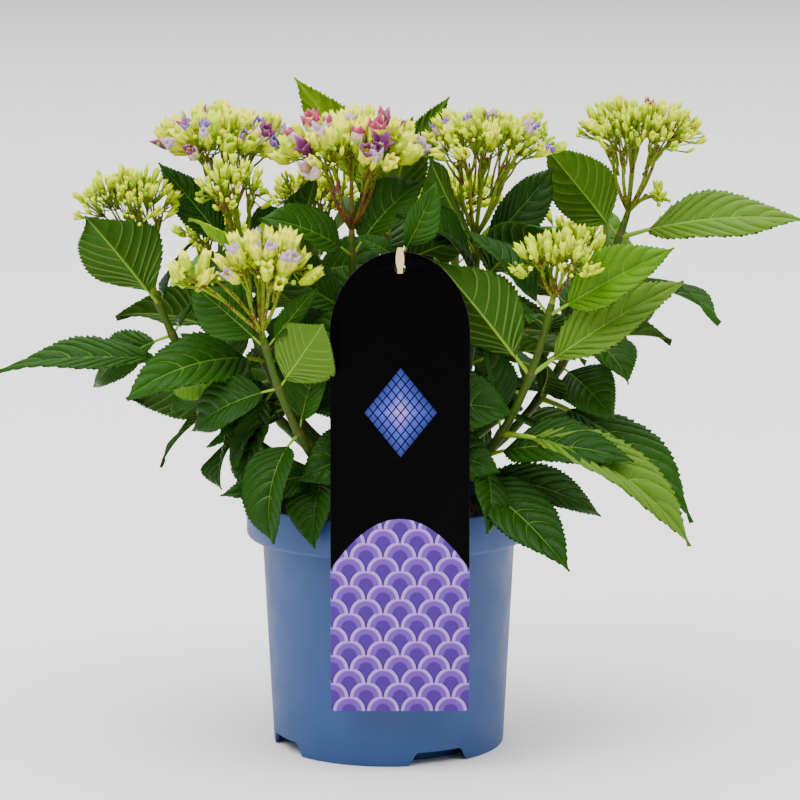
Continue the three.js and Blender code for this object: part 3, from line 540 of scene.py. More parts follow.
def grown_leaves(one):
    """The leaves of a shoot as they grew: for each wanted leaf, the turn at which most of its solid's
    corners are on the shoot's leaf node. One that isn't there found no room."""
    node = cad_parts["leaves_" + one["name"]]
    tree = kdtree.KDTree(len(node.data.vertices))
    for i, vertex in enumerate(node.data.vertices):
        tree.insert(vertex.co, i)
    tree.balance()
    grown = []
    for at, wanted in one["pairs"]:
        base = on_shoot(one, at)[0]
        for number, want in enumerate(wanted):
            best, best_found = None, FEWEST_CORNERS - 1
            for turn, tilt in TURNS:
                tried = {**want, "azimuth": want["azimuth"] + turn, "rise": want["rise"] + tilt,
                         "at": at, "number": number}
                found = sum(tree.find(Vector(c * MM))[2] < CORNER_MATCH for c in solid_corners(base, tried))
                if found > best_found:
                    best, best_found = tried, found
            if best:
                grown.append((base, best))
    return grown


# ------------------------------------------------------------------ joined meshes

class Heap:
    """Many small shapes that become one mesh, with a finish for each face. Sizes are millimetres."""

    def __init__(self, materials):
        self.materials = materials
        self.slots = {m.name: i for i, m in enumerate(materials)}
        self.points, self.corners, self.sizes, self.finishes = [], [], [], []
        self.count = 0

    def add(self, points, *faces):
        """Points, and the faces over them as pairs: an array of corner numbers, and one finish or one for
        each face."""
        for corners, finish in faces:
            corners = np.asarray(corners, int)
            self.corners.append((corners + self.count).ravel())
            self.sizes.append(np.full(len(corners), corners.shape[1]))
            self.finishes.append(np.broadcast_to(finish, (len(corners),)))
        self.points.append(np.asarray(points, float))
        self.count += len(points)

    def make(self, name, smooth=True):
        """The heap as one mesh object, placed by its vertices."""
        points = np.concatenate(self.points) * MM
        corners = np.concatenate(self.corners)
        sizes = np.concatenate(self.sizes)
        mesh = bpy.data.meshes.new(name)
        mesh.vertices.add(len(points))
        mesh.vertices.foreach_set("co", points.ravel())
        mesh.loops.add(len(corners))
        mesh.loops.foreach_set("vertex_index", corners)
        mesh.polygons.add(len(sizes))
        mesh.polygons.foreach_set("loop_start", np.concatenate([[0], np.cumsum(sizes)[:-1]]))
        for material in self.materials:
            mesh.materials.append(material)
        mesh.polygons.foreach_set("material_index", np.concatenate(self.finishes))
        mesh.update(calc_edges=True)
        mesh.polygons.foreach_set("use_smooth", np.full(len(sizes), smooth))
        mesh.validate()
        made = bpy.data.objects.new(name, mesh)
        bpy.context.scene.collection.objects.link(made)
        return made


def press_behind_card(heap, arch_height):
    """Leaf margins that would come through the hanging card lie flat against its back instead."""
    low, high = (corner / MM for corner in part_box("label_card"))
    beside, behind, kept_depth = 1, 0.3, 0.1
    plane = high.y + behind
    for points in heap.points:
        x, y, z = points.T
        pressed = (x > low.x - beside) & (x < high.x + beside) & (y < plane)
        pressed &= (z > low.z) & (z < high.z - arch_height)
        points[:, 1] = np.where(pressed, plane - kept_depth * (plane - y), y)


def settle(piece, slot, *nodes):
    """Every finished piece rides on the plant's body and stands for its CAD nodes, which it hides. Its slot
    is not used.
    """
    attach(piece, "root")
    if nodes:
        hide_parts(*nodes)


def skin_faces(rows, sides, turned=False):
    """The faces over rows of corners round an axis: quads between the rows and a fan of triangles at each
    end, to the two corners that follow them. Turned, they face the other way."""
    a = np.arange((rows - 1) * sides)
    b = a - a % sides + (a + 1) % sides
    quads = np.stack([a, a + sides, b + sides, b], -1)
    k = np.arange(sides)
    after = (k + 1) % sides
    last = (rows - 1) * sides
    low = np.stack([np.full(sides, rows * sides), k, after], -1)
    high = np.stack([np.full(sides, rows * sides + 1), last + after, last + k], -1)
    caps = np.concatenate([low, high])
    if turned:
        return quads[:, [0, 3, 2, 1]], caps[:, [0, 2, 1]]
    return quads, caps


def add_tube(heap, points, radii, sides, finish):
    """A round tube through points, closed at both ends."""
    points = np.asarray(points, float)
    radii = np.asarray(radii, float)
    along = np.gradient(points, axis=0)
    along /= np.linalg.norm(along, axis=1)[:, None] + 1e-12
    upright = abs(along[:, 2]).mean() >= 0.8
    aside = np.cross(along, np.array([1.0, 0.21, 0.13] if upright else [0.37, 0.19, 1.0]))
    aside /= np.linalg.norm(aside, axis=1)[:, None]
    over = np.cross(aside, along)
    turns = np.arange(sides) * FULL_TURN / sides
    ring = aside[:, None, :] * np.cos(turns)[None, :, None] + over[:, None, :] * np.sin(turns)[None, :, None]
    skin = points[:, None, :] + ring * radii[:, None, None]
    quads, caps = skin_faces(len(points), sides)
    heap.add(np.concatenate([skin.reshape(-1, 3), points[:1], points[-1:]]), (quads, finish), (caps, finish))


# ------------------------------------------------------------------ leaves

# Where each side vein leaves the midrib and where it reaches the margin, as shares of the blade's length.
RIB_AT = (0.0, 0.008, 0.032, 0.088, 0.168, 0.27, 0.392, 0.53, 0.695, 1.0)
MARGIN_AT = (0.0, 0.115, 0.24, 0.365, 0.475, 0.578, 0.675, 0.768, 0.866, 1.0)
VEINS = len(RIB_AT) - 2
ROW_STEPS = (0.0, 0.022, 0.25, 0.5, 0.75, 0.978)
ACROSS = (0.0, 0.04, 0.18, 0.38, 0.6, 0.8, 0.93, 1.0)

# Corners further out than this are the margin's, and corners nearer than that are the midrib's.
MARGIN = 0.99
BY_RIB = 0.06

# Relief of a blade 100 mm long, in millimetres. Its margin rolls and ripples by a share of half its width,
# with so many radians of ripple on its right and on its left side.
RELIEF = {"quilt": 1.9, "groove": 0.7, "rib": 0.7, "tooth": 0.95}
MARGIN_ROLL = 0.085
MARGIN_WAVES = (10.5, 9.2)

# Kinds of face on a blade.
BLADE, VEIN, UNDERSIDE, UNDER_VEIN, STALK = range(5)


def blade_template():
    """The grid that every blade is bent from: for each corner its step along the veins, its share of the
    way out and its side; and the faces of a closed skin over it, with the kind of each."""
    columns = [(-1, v) for v in reversed(ACROSS[1:])] + [(1, v) for v in ACROSS]
    steps = [i + s for i in range(VEINS + 1) for s in ROW_STEPS] + [VEINS + 1.0]
    rows, wide = len(steps), len(columns)
    row_step = np.repeat(steps, wide)
    row_number = np.repeat(np.arange(rows), wide)
    side = np.tile([s for s, _ in columns], rows)
    out = np.tile([v for _, v in columns], rows)
    # The two rows beside a vein draw together towards the margin, so that the vein thins out.
    vein = np.round(row_step)
    beside = np.abs(row_step - vein) < 0.03
    row_step = np.where(beside, vein + (row_step - vein) * (1.3 - 1.1 * out), row_step)
    top = np.arange(rows * wide).reshape(rows, wide)
    # Underneath, the margin is shared, and all else has corners of its own.
    under = top.copy()
    under[:, 1:-1] = rows * wide + np.arange(rows * (wide - 2)).reshape(rows, wide - 2)
    quads, kinds = [], []
    for r in range(rows - 1):
        part = steps[r] % 1
        by_vein = (part < 0.01 and 1 <= steps[r] < VEINS) or (part > 0.95 and steps[r + 1] < VEINS)
        for c in range(wide - 1):
            near, far = sorted((columns[c][1], columns[c + 1][1]))
            is_vein = near < 0.01 or (by_vein and far <= 0.94)
            quads.append((top[r, c], top[r, c + 1], top[r + 1, c + 1], top[r + 1, c]))
            quads.append((under[r, c], under[r + 1, c], under[r + 1, c + 1], under[r, c + 1]))
            kinds += [VEIN, UNDER_VEIN] if is_vein else [BLADE, UNDERSIDE]
    caps = []
    for r, turn in ((0, 1), (rows - 1, -1)):
        for c in range(wide - 1):
            ends = [top[r, c], under[r, c], under[r, c + 1], top[r, c + 1]]
            caps.append(ends[::turn])
    return {
        "rows": rows, "wide": wide, "step": row_step, "row": row_number, "side": side, "out": out,
        "under_of": top[:, 1:-1].reshape(-1), "quads": np.array(quads), "kinds": np.array(kinds),
        "caps": np.array(caps),
    }


TEMPLATE = blade_template()


def add_leaf(heap, base, one, roll, finishes):
    """One leaf: its petiole, and a blade that is quilted between its sunken veins and toothed all round."""
    t = TEMPLATE
    path = leaf_path(base, one)
    length = one["length"]
    petiole = LEAF["petiole"]
    blade = (1 - petiole) * length
    half = LEAF["half_width"] * blade * one["breadth"]
    size = length / 100
    step, side, out = t["step"], t["side"], t["out"]
    on_margin = out > MARGIN

    # The margin's own rows are evenly spaced, three teeth to each field between veins.
    within = t["row"] % len(ROW_STEPS)
    even = np.where(on_margin, np.floor(step + 1e-9) + within / len(ROW_STEPS), step)
    even = np.where(step >= VEINS + 1, VEINS + 1, even)
    fields = np.arange(VEINS + 2)
    margin_q = np.interp(even, fields, MARGIN_AT)
    outer_row = t["row"] % 2 == 0
    margin_q = np.where(outer_row & on_margin, np.clip(margin_q + 0.010, 0, 1), margin_q)
    rib_q = np.interp(step, fields, RIB_AT)
    q = np.clip(rib_q + (margin_q - rib_q) * out ** 1.25, 0, 1)

    stalk = LEAF["stalk"] * length
    outline = half * drawn_outline(q)
    outline = np.maximum(outline, np.where(q < 0.5, 0.7 * stalk, 0.25))
    teeth = np.where(on_margin, np.where(outer_row, 1.0, -1.0), 0.0)
    cut = np.minimum(RELIEF["tooth"] * size, 0.2 * outline)
    rib = np.minimum(RELIEF["rib"] * size * (1.12 - q), 0.5 * outline)
    across = np.where(out < 0.01, 0, np.where(out < BY_RIB, rib, outline * out))
    across = np.where(out > BY_RIB, np.maximum(across, rib * (1 + out)), across)
    across = across + teeth * cut

    # Heights over the folded plane: quilting, the rib's groove, a rolling margin and a seeded wave.
    fold = math.radians(LEAF["fold"] + 7 + 18 * (next(roll) - 0.5))
    waves = [FULL_TURN * next(roll), FULL_TURN * next(roll)]
    quilt = np.sin(math.pi * (step % 1.0)) ** 0.7 * np.clip(out / 0.22, 0, 1) * (1 - 0.75 * out ** 4)
    quilt = np.where((step < 0.3) | (step > VEINS + 0.7), quilt * 0.4, quilt)
    lift = RELIEF["quilt"] * size * quilt * np.clip(outline / (0.5 * half + 1e-6), 0, 1)
    groove = np.where(out < BY_RIB, -RELIEF["groove"] * size * (1 - 0.7 * q), 0)
    rolled = -MARGIN_ROLL * half * out ** 2.6
    right, left = (np.sin(wave + often * q) for wave, often in zip(waves, MARGIN_WAVES))
    ripple = np.where(side > 0, right, left) * out ** 2 * MARGIN_ROLL * half
    height = across * math.sin(fold) + lift + groove + rolled + ripple

    centre, _, aside, up = path(petiole + (1 - petiole) * q)
    points = centre + aside * (side * across * math.cos(fold))[:, None] + up * height[:, None]

    # The underside follows the top at the blade's thickness, square to it where it isn't too steep.
    thick = 0.42 + 0.0035 * length
    grid = points.reshape(t["rows"], t["wide"], 3)
    normal = np.cross(np.gradient(grid, axis=1), np.gradient(grid, axis=0)).reshape(-1, 3)
    reach = np.linalg.norm(normal, axis=1)[:, None]
    normal = np.where(reach > 1e-9, normal / np.maximum(reach, 1e-9), up)
    normal = np.where(np.sum(normal * up, axis=1)[:, None] < 0.2, up, normal)
    under = points[t["under_of"]] - normal[t["under_of"]] * thick
    heap.add(np.concatenate([points, under]), (t["quads"], np.asarray(finishes)[t["kinds"]]),
             (t["caps"], finishes[UNDER_VEIN]))

    # The petiole runs on below the blade as its midrib, and thins out towards the tip.
    shares = np.concatenate([np.linspace(0, petiole, 6), np.linspace(petiole + 0.02, 0.93, 12)])
    centre, _, _, up = path(shares)
    on_blade = shares > petiole + 0.001
    run = np.clip((shares - petiole) / (1 - petiole), 0, 1)
    radii = np.where(on_blade, stalk * 0.62 * (1 - 0.84 * run ** 0.7), stalk * (1.0 - 0.3 * shares / petiole))
    sunk = np.where(on_blade, -(radii + thick * 0.4 + 0.5 * size * (1 - 0.7 * run)), 0)
    add_tube(heap, centre + up * sunk[:, None], radii, 7, finishes[STALK])


# ------------------------------------------------------------------ flower heads

def sepal(heap, base, axis, out, length, broad, spread, finish_low, finish_middle, finish_tip):
    """One pointed, cupped sepal: it rises from the floret's base, swells and closes or opens."""
    aside = np.cross(axis, out)
    rows = ((0.0, 0.03, 0.07), (0.35, 0.17 * broad, 0.22 * broad),
            (0.70, 0.16 * broad + 0.4 * spread, 0.17 * broad), (1.0, 0.10 * broad + spread, 0.0))
    points = []
    for height, radial, half in rows:
        middle = base + axis * height * length + out * radial * length
        if half == 0:
            points.append(middle)
            continue
        inward = out * 0.16 * length * (half > 0.2)
        points += [middle - aside * half * length - inward, middle,
                   middle + aside * half * length - inward, middle - out * 0.07 * length]
    # Rows hold: left 0, middle 1, right 2, inner middle 3.
    quads, finishes = [], []
    for r in (0, 1):
        a, b = 4 * r, 4 * (r + 1)
        quads += [(a, b, b + 1, a + 1), (a + 1, b + 1, b + 2, a + 2),
                  (a, a + 3, b + 3, b), (a + 3, a + 2, b + 2, b + 3)]
        finishes += [finish_low if r == 0 else finish_middle] * 4
    tip = 12
    tris = [(8, tip, 9), (9, tip, 10), (8, 11, tip), (11, 10, tip), (0, 1, 3), (1, 2, 3)]
    heap.add(points, (quads, finishes), (tris, [finish_tip] * 4 + [finish_low] * 2))


def ball_template():
    """A round bud of six sides, a little pointed: its corners, its quads and its end triangles."""
    sides = 6
    rows = ((-0.9, 0.45), (-0.2, 1.0), (0.6, 0.75))
    points = []
    for height, radius in rows:
        for k in range(sides):
            turn = FULL_TURN * k / sides
            points.append((radius * math.cos(turn), radius * math.sin(turn), height))
    points += [(0, 0, -1.15), (0, 0, 1.15)]
    return np.array(points, float), *skin_faces(len(rows), sides, turned=True)


BALL = ball_template()


def frame_for(axis):
    """Two directions square to an axis and to each other."""
    aim = np.array([1.0, 0, 0]) if abs(axis[0]) < 0.8 else np.array([0, 1.0, 0])
    aside = unit(np.cross(axis, aim))
    return aside, np.cross(axis, aside)


def add_ball(heap, centre, axis, radius, finish, stretch=(1, 1, 1)):
    """A small round body, stretched aside, over and along its axis."""
    points, quads, caps = BALL
    placed = centre + radius * (points * stretch) @ np.array([*frame_for(axis), axis])
    heap.add(placed, (quads, finish), (caps, finish))


def bent(a, b, sag, count=4):
    """A run of points from a to b that bows by sag."""
    s = np.linspace(0, 1, count)[:, None]
    return a + (b - a) * s + np.asarray(sag) * (4 * s * (1 - s))


# How each head has ripened: the share of large florets, of coloured tips and of opened florets, the
# length of its small and large florets, its share of cream ones and the colours of its tips.
RIPENESS = {
    "lime": (0.15, 0.0, 0.0, 10.0, 14.0, 0.1, ()),
    "bright": (0.45, 0.0, 0.0, 11.0, 16.0, 0.04, ()),
    "cream": (0.3, 0.0, 0.0, 8.0, 12.0, 0.6, ()),
    "lilac": (0.7, 0.3, 0.0, 12.0, 21.0, 0.5, ("lilac",)),
    "violet": (0.6, 0.34, 0.02, 11.0, 23.0, 0.3, ("lilac", "violet", "mauve", "mauve")),
    "violet_few": (0.38, 0.22, 0.01, 10.5, 17.0, 0.25, ("lilac", "violet")),
    "pink": (0.6, 0.36, 0.02, 11.0, 23.0, 0.3, ("magenta", "lilac", "magenta", "mauve")),
    "pink_few": (0.15, 0.04, 0.01, 10.0, 14.5, 0.2, ("mauve",)),
}


# Florets and buds stand on spirals round their bunch, by these turns in degrees.
FLORET_TURN = 137.5
BUD_TURN = 222.5

# Radii along each kind of ray.
RAY = {"peduncle": (2.7, 2.5, 2.2), "branch": np.linspace(1.75, 1.25, 5), "fork": (1.1, 1.0, 0.9, 0.85),
       "floret": (0.62, 0.58, 0.55, 0.8), "bud": (0.5, 0.45, 0.45)}
BRANCH_KNOT = 1.75
FORK_KNOT = 1.15

# How far florets hang below the dome at the skirt of their bunch, and how deep the rays' forks lie.
SKIRT_DROP = 13
FORK_DEPTH = 12


class Head:
    """One flower head: the bunches of the plant's rule, each carried on to forked rays, closed florets
    of four sepals and the small round buds between them."""

    def __init__(self, blossom, rays, tip, shape, roll):
        self.blossom, self.rays, self.shape, self.roll = blossom, rays, shape, roll
        self.radius = shape["radius"]
        self.middle = tip + compass(shape["azimuth"], shape["lean"], 0)
        (self.large, self.tinted, self.opened, self.small_length, self.large_length, self.creamy,
         self.colours) = RIPENESS[shape["tint"]]
        self.ray, self.knot = rays.slots["ray_green"], rays.slots["ray_node"]
        self.lime, self.cream = blossom.slots["sepal_lime"], blossom.slots["sepal_cream"]

    def on_dome(self, x, y, lower):
        """A point of the dome over x and y, lowered."""
        spread = math.hypot(x, y) / self.radius
        height = self.shape["rise"] + self.shape["dome"] * (1 - spread ** 2) - lower
        return self.middle + np.array([x, y, height])

    def facing(self, point):
        """Which way a floret looks: away from the head's heart, and a little up."""
        heart = self.middle + np.array([0, 0, self.shape["rise"] - 0.8 * self.radius])
        return unit(unit(point - heart) + np.array([0, 0, 0.2]))

    def grow(self, tip, along):
        """The peduncle, and for each bunch its branch with all that it carries."""
        foot = tip + along * CLEARANCE
        hub = foot + along * FLOWER["peduncle"]
        parting = hub - 2 * along
        branch = self.rays.slots["ray_ruddy"] if len(self.colours) > 2 else self.ray
        add_tube(self.rays, bent(foot - along * 1.5, hub, (0, 0, 0), 3), RAY["peduncle"], 8, branch)
        count = self.shape["bunches"]
        for i in range(1 if count < 3 else 0, count + 1):
            away = 0 if i == 0 or count == 1 else FLOWER["reach"] * self.radius
            x, y, _ = compass(360 * i / count + FLOWER["turn"], away, 0)
            spread = self.radius if count == 1 else FLOWER["spread"] * self.radius
            fork = parting + (self.on_dome(x, y, 0) - parting) * FLOWER["fork"]
            add_tube(self.rays, bent(parting, fork, np.array([x, y, 0]) * 0.10, 5), RAY["branch"], 7, branch)
            add_ball(self.rays, fork, unit(fork - parting), BRANCH_KNOT, self.knot)
            forks = self.fork_rays(x, y, spread, parting, fork)
            self.set_florets(x, y, spread, forks, 50 * i)
            self.set_buds(x, y, spread, forks)

    def fork_rays(self, x, y, spread, parting, fork):
        """Eight finer rays under a bunch, and where they end."""
        roll, forks = self.roll, []
        for k in range(8):
            turn = 45 * k + 24 * next(roll)
            reach = spread * (0.35 + 0.6 * next(roll))
            px, py, _ = compass(turn, reach, 0)
            top = self.on_dome(x + px, y + py, FORK_DEPTH)
            ending = fork + (top - fork) * (0.15 + 0.4 * next(roll))
            parted = fork if k % 2 else parting + (fork - parting) * (0.55 + 0.35 * next(roll))
            add_tube(self.rays, bent(parted, ending, np.array([px, py, 0]) * 0.08), RAY["fork"], 6, self.ray)
            add_ball(self.rays, ending, unit(ending - parted), FORK_KNOT, self.knot)
            forks.append(ending)
        return forks

    def floret_form(self, rim):
        """A floret's length, breadth, openness and three finishes, and whether it is a large one. Large and
        coloured florets are most common near the head's rim."""
        roll, slots = self.roll, self.blossom.slots
        is_large = next(roll) < self.large * (0.45 + 0.9 * rim)
        is_open = next(roll) < self.opened
        is_tinted = is_large and next(roll) < self.tinted * (0.4 + rim)
        low = self.lime
        middle = top = self.cream if next(roll) < self.creamy else self.lime
        broad, openness = 0.64, 0.02 + 0.07 * next(roll)
        length = self.small_length * (0.85 + 0.4 * next(roll))
        if is_large:
            broad, openness = 0.55 + 0.03 * self.large_length, 0.02 + 0.16 * next(roll)
            length = self.large_length * (0.85 + 0.3 * next(roll))
            top = self.cream if next(roll) < 2 * self.creamy else self.lime
        if self.colours and (is_tinted or is_open):
            length *= 1.12
            top = slots["sepal_" + self.colours[int(next(roll) * len(self.colours))]]
            middle = top if is_open else (slots["sepal_pale"] if next(roll) < 0.5 else self.cream)
        if is_open:
            broad, openness, length, low = 1.5, 0.42 + 0.2 * next(roll), self.large_length * 0.8, top
        return length, broad, openness, (low, middle, top), is_large

    def set_florets(self, x, y, spread, forks, start):
        """The florets of a bunch, each on its own ray."""
        roll = self.roll
        # Large florets need more room on the dome, in square millimetres.
        room = 38 + 150 * self.large
        florets = max(6, int(round(spread ** 2 * math.pi * 1.3 / room)))
        for k in range(florets):
            skirt = math.sqrt((k + 0.35) / florets)
            px, py, _ = compass(FLORET_TURN * k + 60 * next(roll) + start, spread * 1.15 * skirt, 0)
            point = self.on_dome(x + px, y + py, SKIRT_DROP * skirt ** 3 + 10 * next(roll) - 6)
            rim = min(1, math.hypot(x + px, y + py) / self.radius)
            loose = np.array([next(roll), next(roll), next(roll)]) - 0.5
            outward = 0.22 * rim * skirt * np.array([px, py, 0]) / spread
            axis = unit(self.facing(point) + outward + 0.26 * loose)
            length, broad, openness, finishes, is_large = self.floret_form(rim)
            base = point + axis * (5 * is_large - length)
            aside, over = frame_for(axis)
            spin = FULL_TURN * next(roll)
            for quarter in range(4):
                turn = spin + quarter * FULL_TURN / 4
                out = aside * math.cos(turn) + over * math.sin(turn)
                own = length * (1.0 - 0.14 * next(roll))
                sepal(self.blossom, base, axis, out, own, broad, openness, *finishes)
            carrier = min(forks, key=lambda f: float(np.linalg.norm(f - base)))
            bow = np.array([px, py, 0]) * 0.08 - axis * 0.6 * rim
            add_tube(self.rays, bent(carrier, base + axis * 0.6, bow), RAY["floret"], 5, self.ray)

    def set_buds(self, x, y, spread, forks):
        """The small round buds between a bunch's florets."""
        roll, bud = self.roll, self.blossom.slots["bud_green"]
        buds = int(10 + spread ** 2 * 0.035)
        for k in range(buds):
            skirt = math.sqrt((k + 0.5) / buds)
            px, py, _ = compass(BUD_TURN * k + 80 * next(roll), spread * 1.04 * skirt, 0)
            point = self.on_dome(x + px, y + py, 5 + 7 * next(roll) + 4 * skirt ** 3)
            axis = self.facing(point)
            size = 1.2 + 1.0 * next(roll)
            add_ball(self.blossom, point - axis * size, axis, size, bud if next(roll) < 0.55 else self.lime)
            carrier = min(forks, key=lambda f: float(np.linalg.norm(f - point)))
            ending = point - axis * size * 1.8
            add_tube(self.rays, bent(carrier, ending, (0, 0, 0), 3), RAY["bud"], 4, self.ray)


# ------------------------------------------------------------------ sizes and colours that a user changes

def colour_property(name, description, hex_colour):
    """A colour that a user picks, given as sRGB hex."""
    return FloatVectorProperty(name=name, description=description, subtype="COLOR", size=3, min=0, max=1,
                               default=linear(hex_colour)[:3])


def length_property(name, description, millimetres):
    """A length that a user sets."""
    return FloatProperty(name=name, description=description, unit="LENGTH", min=0, default=millimetres * MM)


class PotLooks(bpy.types.PropertyGroup):
    rim_radius: FloatProperty(name="Rim radius", description="Outside radius of the rim", unit="LENGTH",
                              default=POT_BOX[1].x)
    height: FloatProperty(name="Height", description="From the ground to the rim's lip", unit="LENGTH",
                          default=POT_BOX[1].z)
    rim_depth: length_property("Rim depth", "Height of the stepped rim", 31)
    wall_top_radius: length_property("Wall top radius", "Outside radius of the wall under the rim", 99.6)
    foot_radius: length_property("Foot radius", "Outside radius at the ground", 91.2)
    wall: length_property("Wall thickness", "Thickness of the moulded wall", 2.4)
    colour: colour_property("Pot colour", "Tint of the moulded polypropylene", "183F79")
    soil_level: length_property("Soil level", "Height of the potting mix", 184)


class PlantLooks(bpy.types.PropertyGroup):
    seed: IntProperty(name="Seed", description="Seed of the small differences between leaves", default=7)
    deep: colour_property("Old leaf", "Upper side of the oldest leaves", "183E02")
    mid: colour_property("Full leaf", "Upper side of full-grown leaves", "214B03")
    # Painted sheen: the 'pale' leaves get a paler green that stands for the white studio reflected in their
    # gloss.
    pale: colour_property("Waxy leaf", "Upper side of leaves painted paler for the sheen of their gloss", "587B20")
    fresh: colour_property("Fresh leaf", "Upper side of leaves still growing", "4E790A")
    young: colour_property("Young leaf", "Upper side of the youngest leaves", "9AC60A")
    under: colour_property("Underside", "Lower side of the leaves", "42611C")
    vein: colour_property("Vein", "Veins on the upper side", "8FBB3C")
    under_vein: colour_property("Vein beneath", "Veins on the lower side", "93AE4C")
    petiole: colour_property("Petiole", "Leaf stalks", "7C9F22")
    stem: colour_property("Stem", "Skin of the green shoots", "37500A")


class FlowerLooks(bpy.types.PropertyGroup):
    lime: colour_property("Lime sepal", "Sepals of unripe florets", "D0E800")
    cream: colour_property("Cream sepal", "Sepals that are turning pale", "EEF030")
    pale: colour_property("Pale sepal", "Sepals between cream and their coloured tips", "ECD2B4")
    lilac: colour_property("Lilac sepal", "Faintly coloured sepal tips", "B093B8")
    violet: colour_property("Violet sepal", "Violet sepal tips", "6A52A4")
    mauve: colour_property("Mauve sepal", "Dark mauve sepal tips", "74346A")
    magenta: colour_property("Magenta sepal", "Magenta sepal tips", "96305C")
    bud: colour_property("Round bud", "Small fertile buds", "8CAE1A")
    ray: colour_property("Ray", "Rays that carry the florets", "6E8410")


class LabelLooks(bpy.types.PropertyGroup):
    width: length_property("Width", "Width of the card", 106)
    height: length_property("Height", "Height of the card", 355)
    thickness: length_property("Thickness", "Thickness of the card", 1)
    arch_height: length_property("Arch height", "Height of its rounded top", 64)
    corner_radius: length_property("Corner radius", "Radius of its two lower corners", 4)
    hole_radius: length_property("Hole radius", "Radius of the clip's hole", 4)
    hole_drop: length_property("Hole drop", "From the arch's top down to the hole", 13)
    centre_x: length_property("Centre", "Where its middle line stands, to the right of the pot's axis", 9)
    top_height: length_property("Top", "Height of its arch over the ground", 405)
    scallop_width: length_property("Scallop", "Width of one printed scallop", 26)
    field_height: length_property("Scalloped field", "Height of the printed scallops", 150)
    field_arch: FloatProperty(name="Field arch", description="How fast the field's top falls to its sides",
                              default=14.0)
    lozenge_height: length_property("Lozenge height", "Height of the lozenge over the lower edge", 232)
    lozenge_size: length_property("Lozenge size", "Half the width of the printed lozenge", 28)
    ground: colour_property("Ground", "Printed ground colour", "010101")
    hem: colour_property("Hem", "Cut edge of the card", "4A1F52")
    violet_dark: colour_property("Dark violet", "Scallop gaps", "22123E")
    violet_deep: colour_property("Deep violet", "Scallop hearts", "4B2D86")
    violet: colour_property("Violet", "Scallop bands", "6D44A8")
    violet_pale: colour_property("Pale violet", "Scallop rims", "A486D6")
    blue: colour_property("Blue", "Lozenge middle", "4A55B8")
    blue_deep: colour_property("Deep blue", "Lozenge edge", "27306E")


class StageLooks(bpy.types.PropertyGroup):
    floor_colour: colour_property("Floor", "Painted studio floor", "F4F4F2")
    key: FloatProperty(name="Key light", description="Power of the large soft light", default=40.0, min=0)
    fill: FloatProperty(name="Fill light", description="Power of the fill light", default=8.0, min=0)
    overhead: FloatProperty(name="Overhead light", description="Power of the ceiling light",
                            default=2700.0, min=0)
    air: FloatProperty(name="Surrounding light", description="Strength of the white surroundings",
                       default=0.3, min=0)


# ------------------------------------------------------------------ modelling helpers

def start_fresh():
    """Nothing selected or active, in object mode."""
    if bpy.context.view_layer.objects.active and bpy.context.mode != "OBJECT":
        bpy.ops.object.mode_set(mode="OBJECT")
    bpy.ops.object.select_all(action="DESELECT")
    bpy.context.view_layer.objects.active = None


def only(piece):
    """This piece alone selected and active."""
    start_fresh()
    piece.select_set(True)
    bpy.context.view_layer.objects.active = piece


def finish_piece(piece, name, materials, angle=35):
    """Names a modelled piece, moves its place into its mesh and gives it its finish."""
    only(piece)
    piece.name = name
    piece.data.name = name
    bpy.ops.object.transform_apply(location=True, rotation=True, scale=True)
    piece.data.materials.clear()
    for material in materials:
        piece.data.materials.append(material)
    bpy.ops.object.shade_smooth_by_angle(angle=math.radians(angle))
    return piece


def choose(piece, kind, wanted):
    """In edit mode, selects the faces, edges or vertices of a piece for which wanted() is true."""
    bpy.ops.mesh.select_mode(type=kind)
    bpy.ops.mesh.select_all(action="DESELECT")
    mesh = bmesh.from_edit_mesh(piece.data)
    parts = {"FACE": mesh.faces, "EDGE": mesh.edges, "VERT": mesh.verts}[kind]
    for part in parts:
        part.select = wanted(part)
    bmesh.update_edit_mesh(piece.data)


def apply_modifier(piece, kind, **settings):
    """Adds a modifier to a piece with its settings and applies it."""
    only(piece)
    modifier = piece.modifiers.new(kind.lower(), kind)
    for key, value in settings.items():
        setattr(modifier, key, value)
    bpy.ops.object.modifier_apply(modifier=modifier.name)


def turned_shell(profile, segments):
    """A closed body of revolution, pulled ring by ring from a disc along (radius, height) steps."""
    start_fresh()
    bpy.ops.mesh.primitive_circle_add(vertices=segments, radius=profile[0][0], fill_type="NGON",
                                      location=(0, 0, profile[0][1]))
    piece = bpy.context.object
    bpy.ops.object.mode_set(mode="EDIT")
    bpy.ops.mesh.select_mode(type="FACE")
    bpy.ops.mesh.select_all(action="SELECT")
    for (radius, height), (next_radius, next_height) in zip(profile, profile[1:]):
        bpy.ops.mesh.extrude_region_move(TRANSFORM_OT_translate={"value": (0, 0, next_height - height)})
        ratio = next_radius / radius
        bpy.ops.transform.resize(value=(ratio, ratio, 1), center_override=(0, 0, next_height))
    bpy.ops.mesh.select_all(action="SELECT")
    bpy.ops.mesh.normals_make_consistent(inside=False)
    bpy.ops.object.mode_set(mode="OBJECT")
    return piece


def rounded(centre_radius, centre_height, radius, first, last, count):
    """Points on a rounded corner of a turned profile, between two angles in degrees."""
    angles = np.radians(np.linspace(first, last, count))
    return [(centre_radius + radius * math.cos(a), centre_height + radius * math.sin(a)) for a in angles]


def cut_away(piece, cutter):
    """Takes the cutter's shape out of a piece and removes the cutter."""
    apply_modifier(piece, "BOOLEAN", object=cutter, operation="DIFFERENCE", solver="EXACT")
    bpy.data.objects.remove(cutter, do_unlink=True)


# ------------------------------------------------------------------ operators

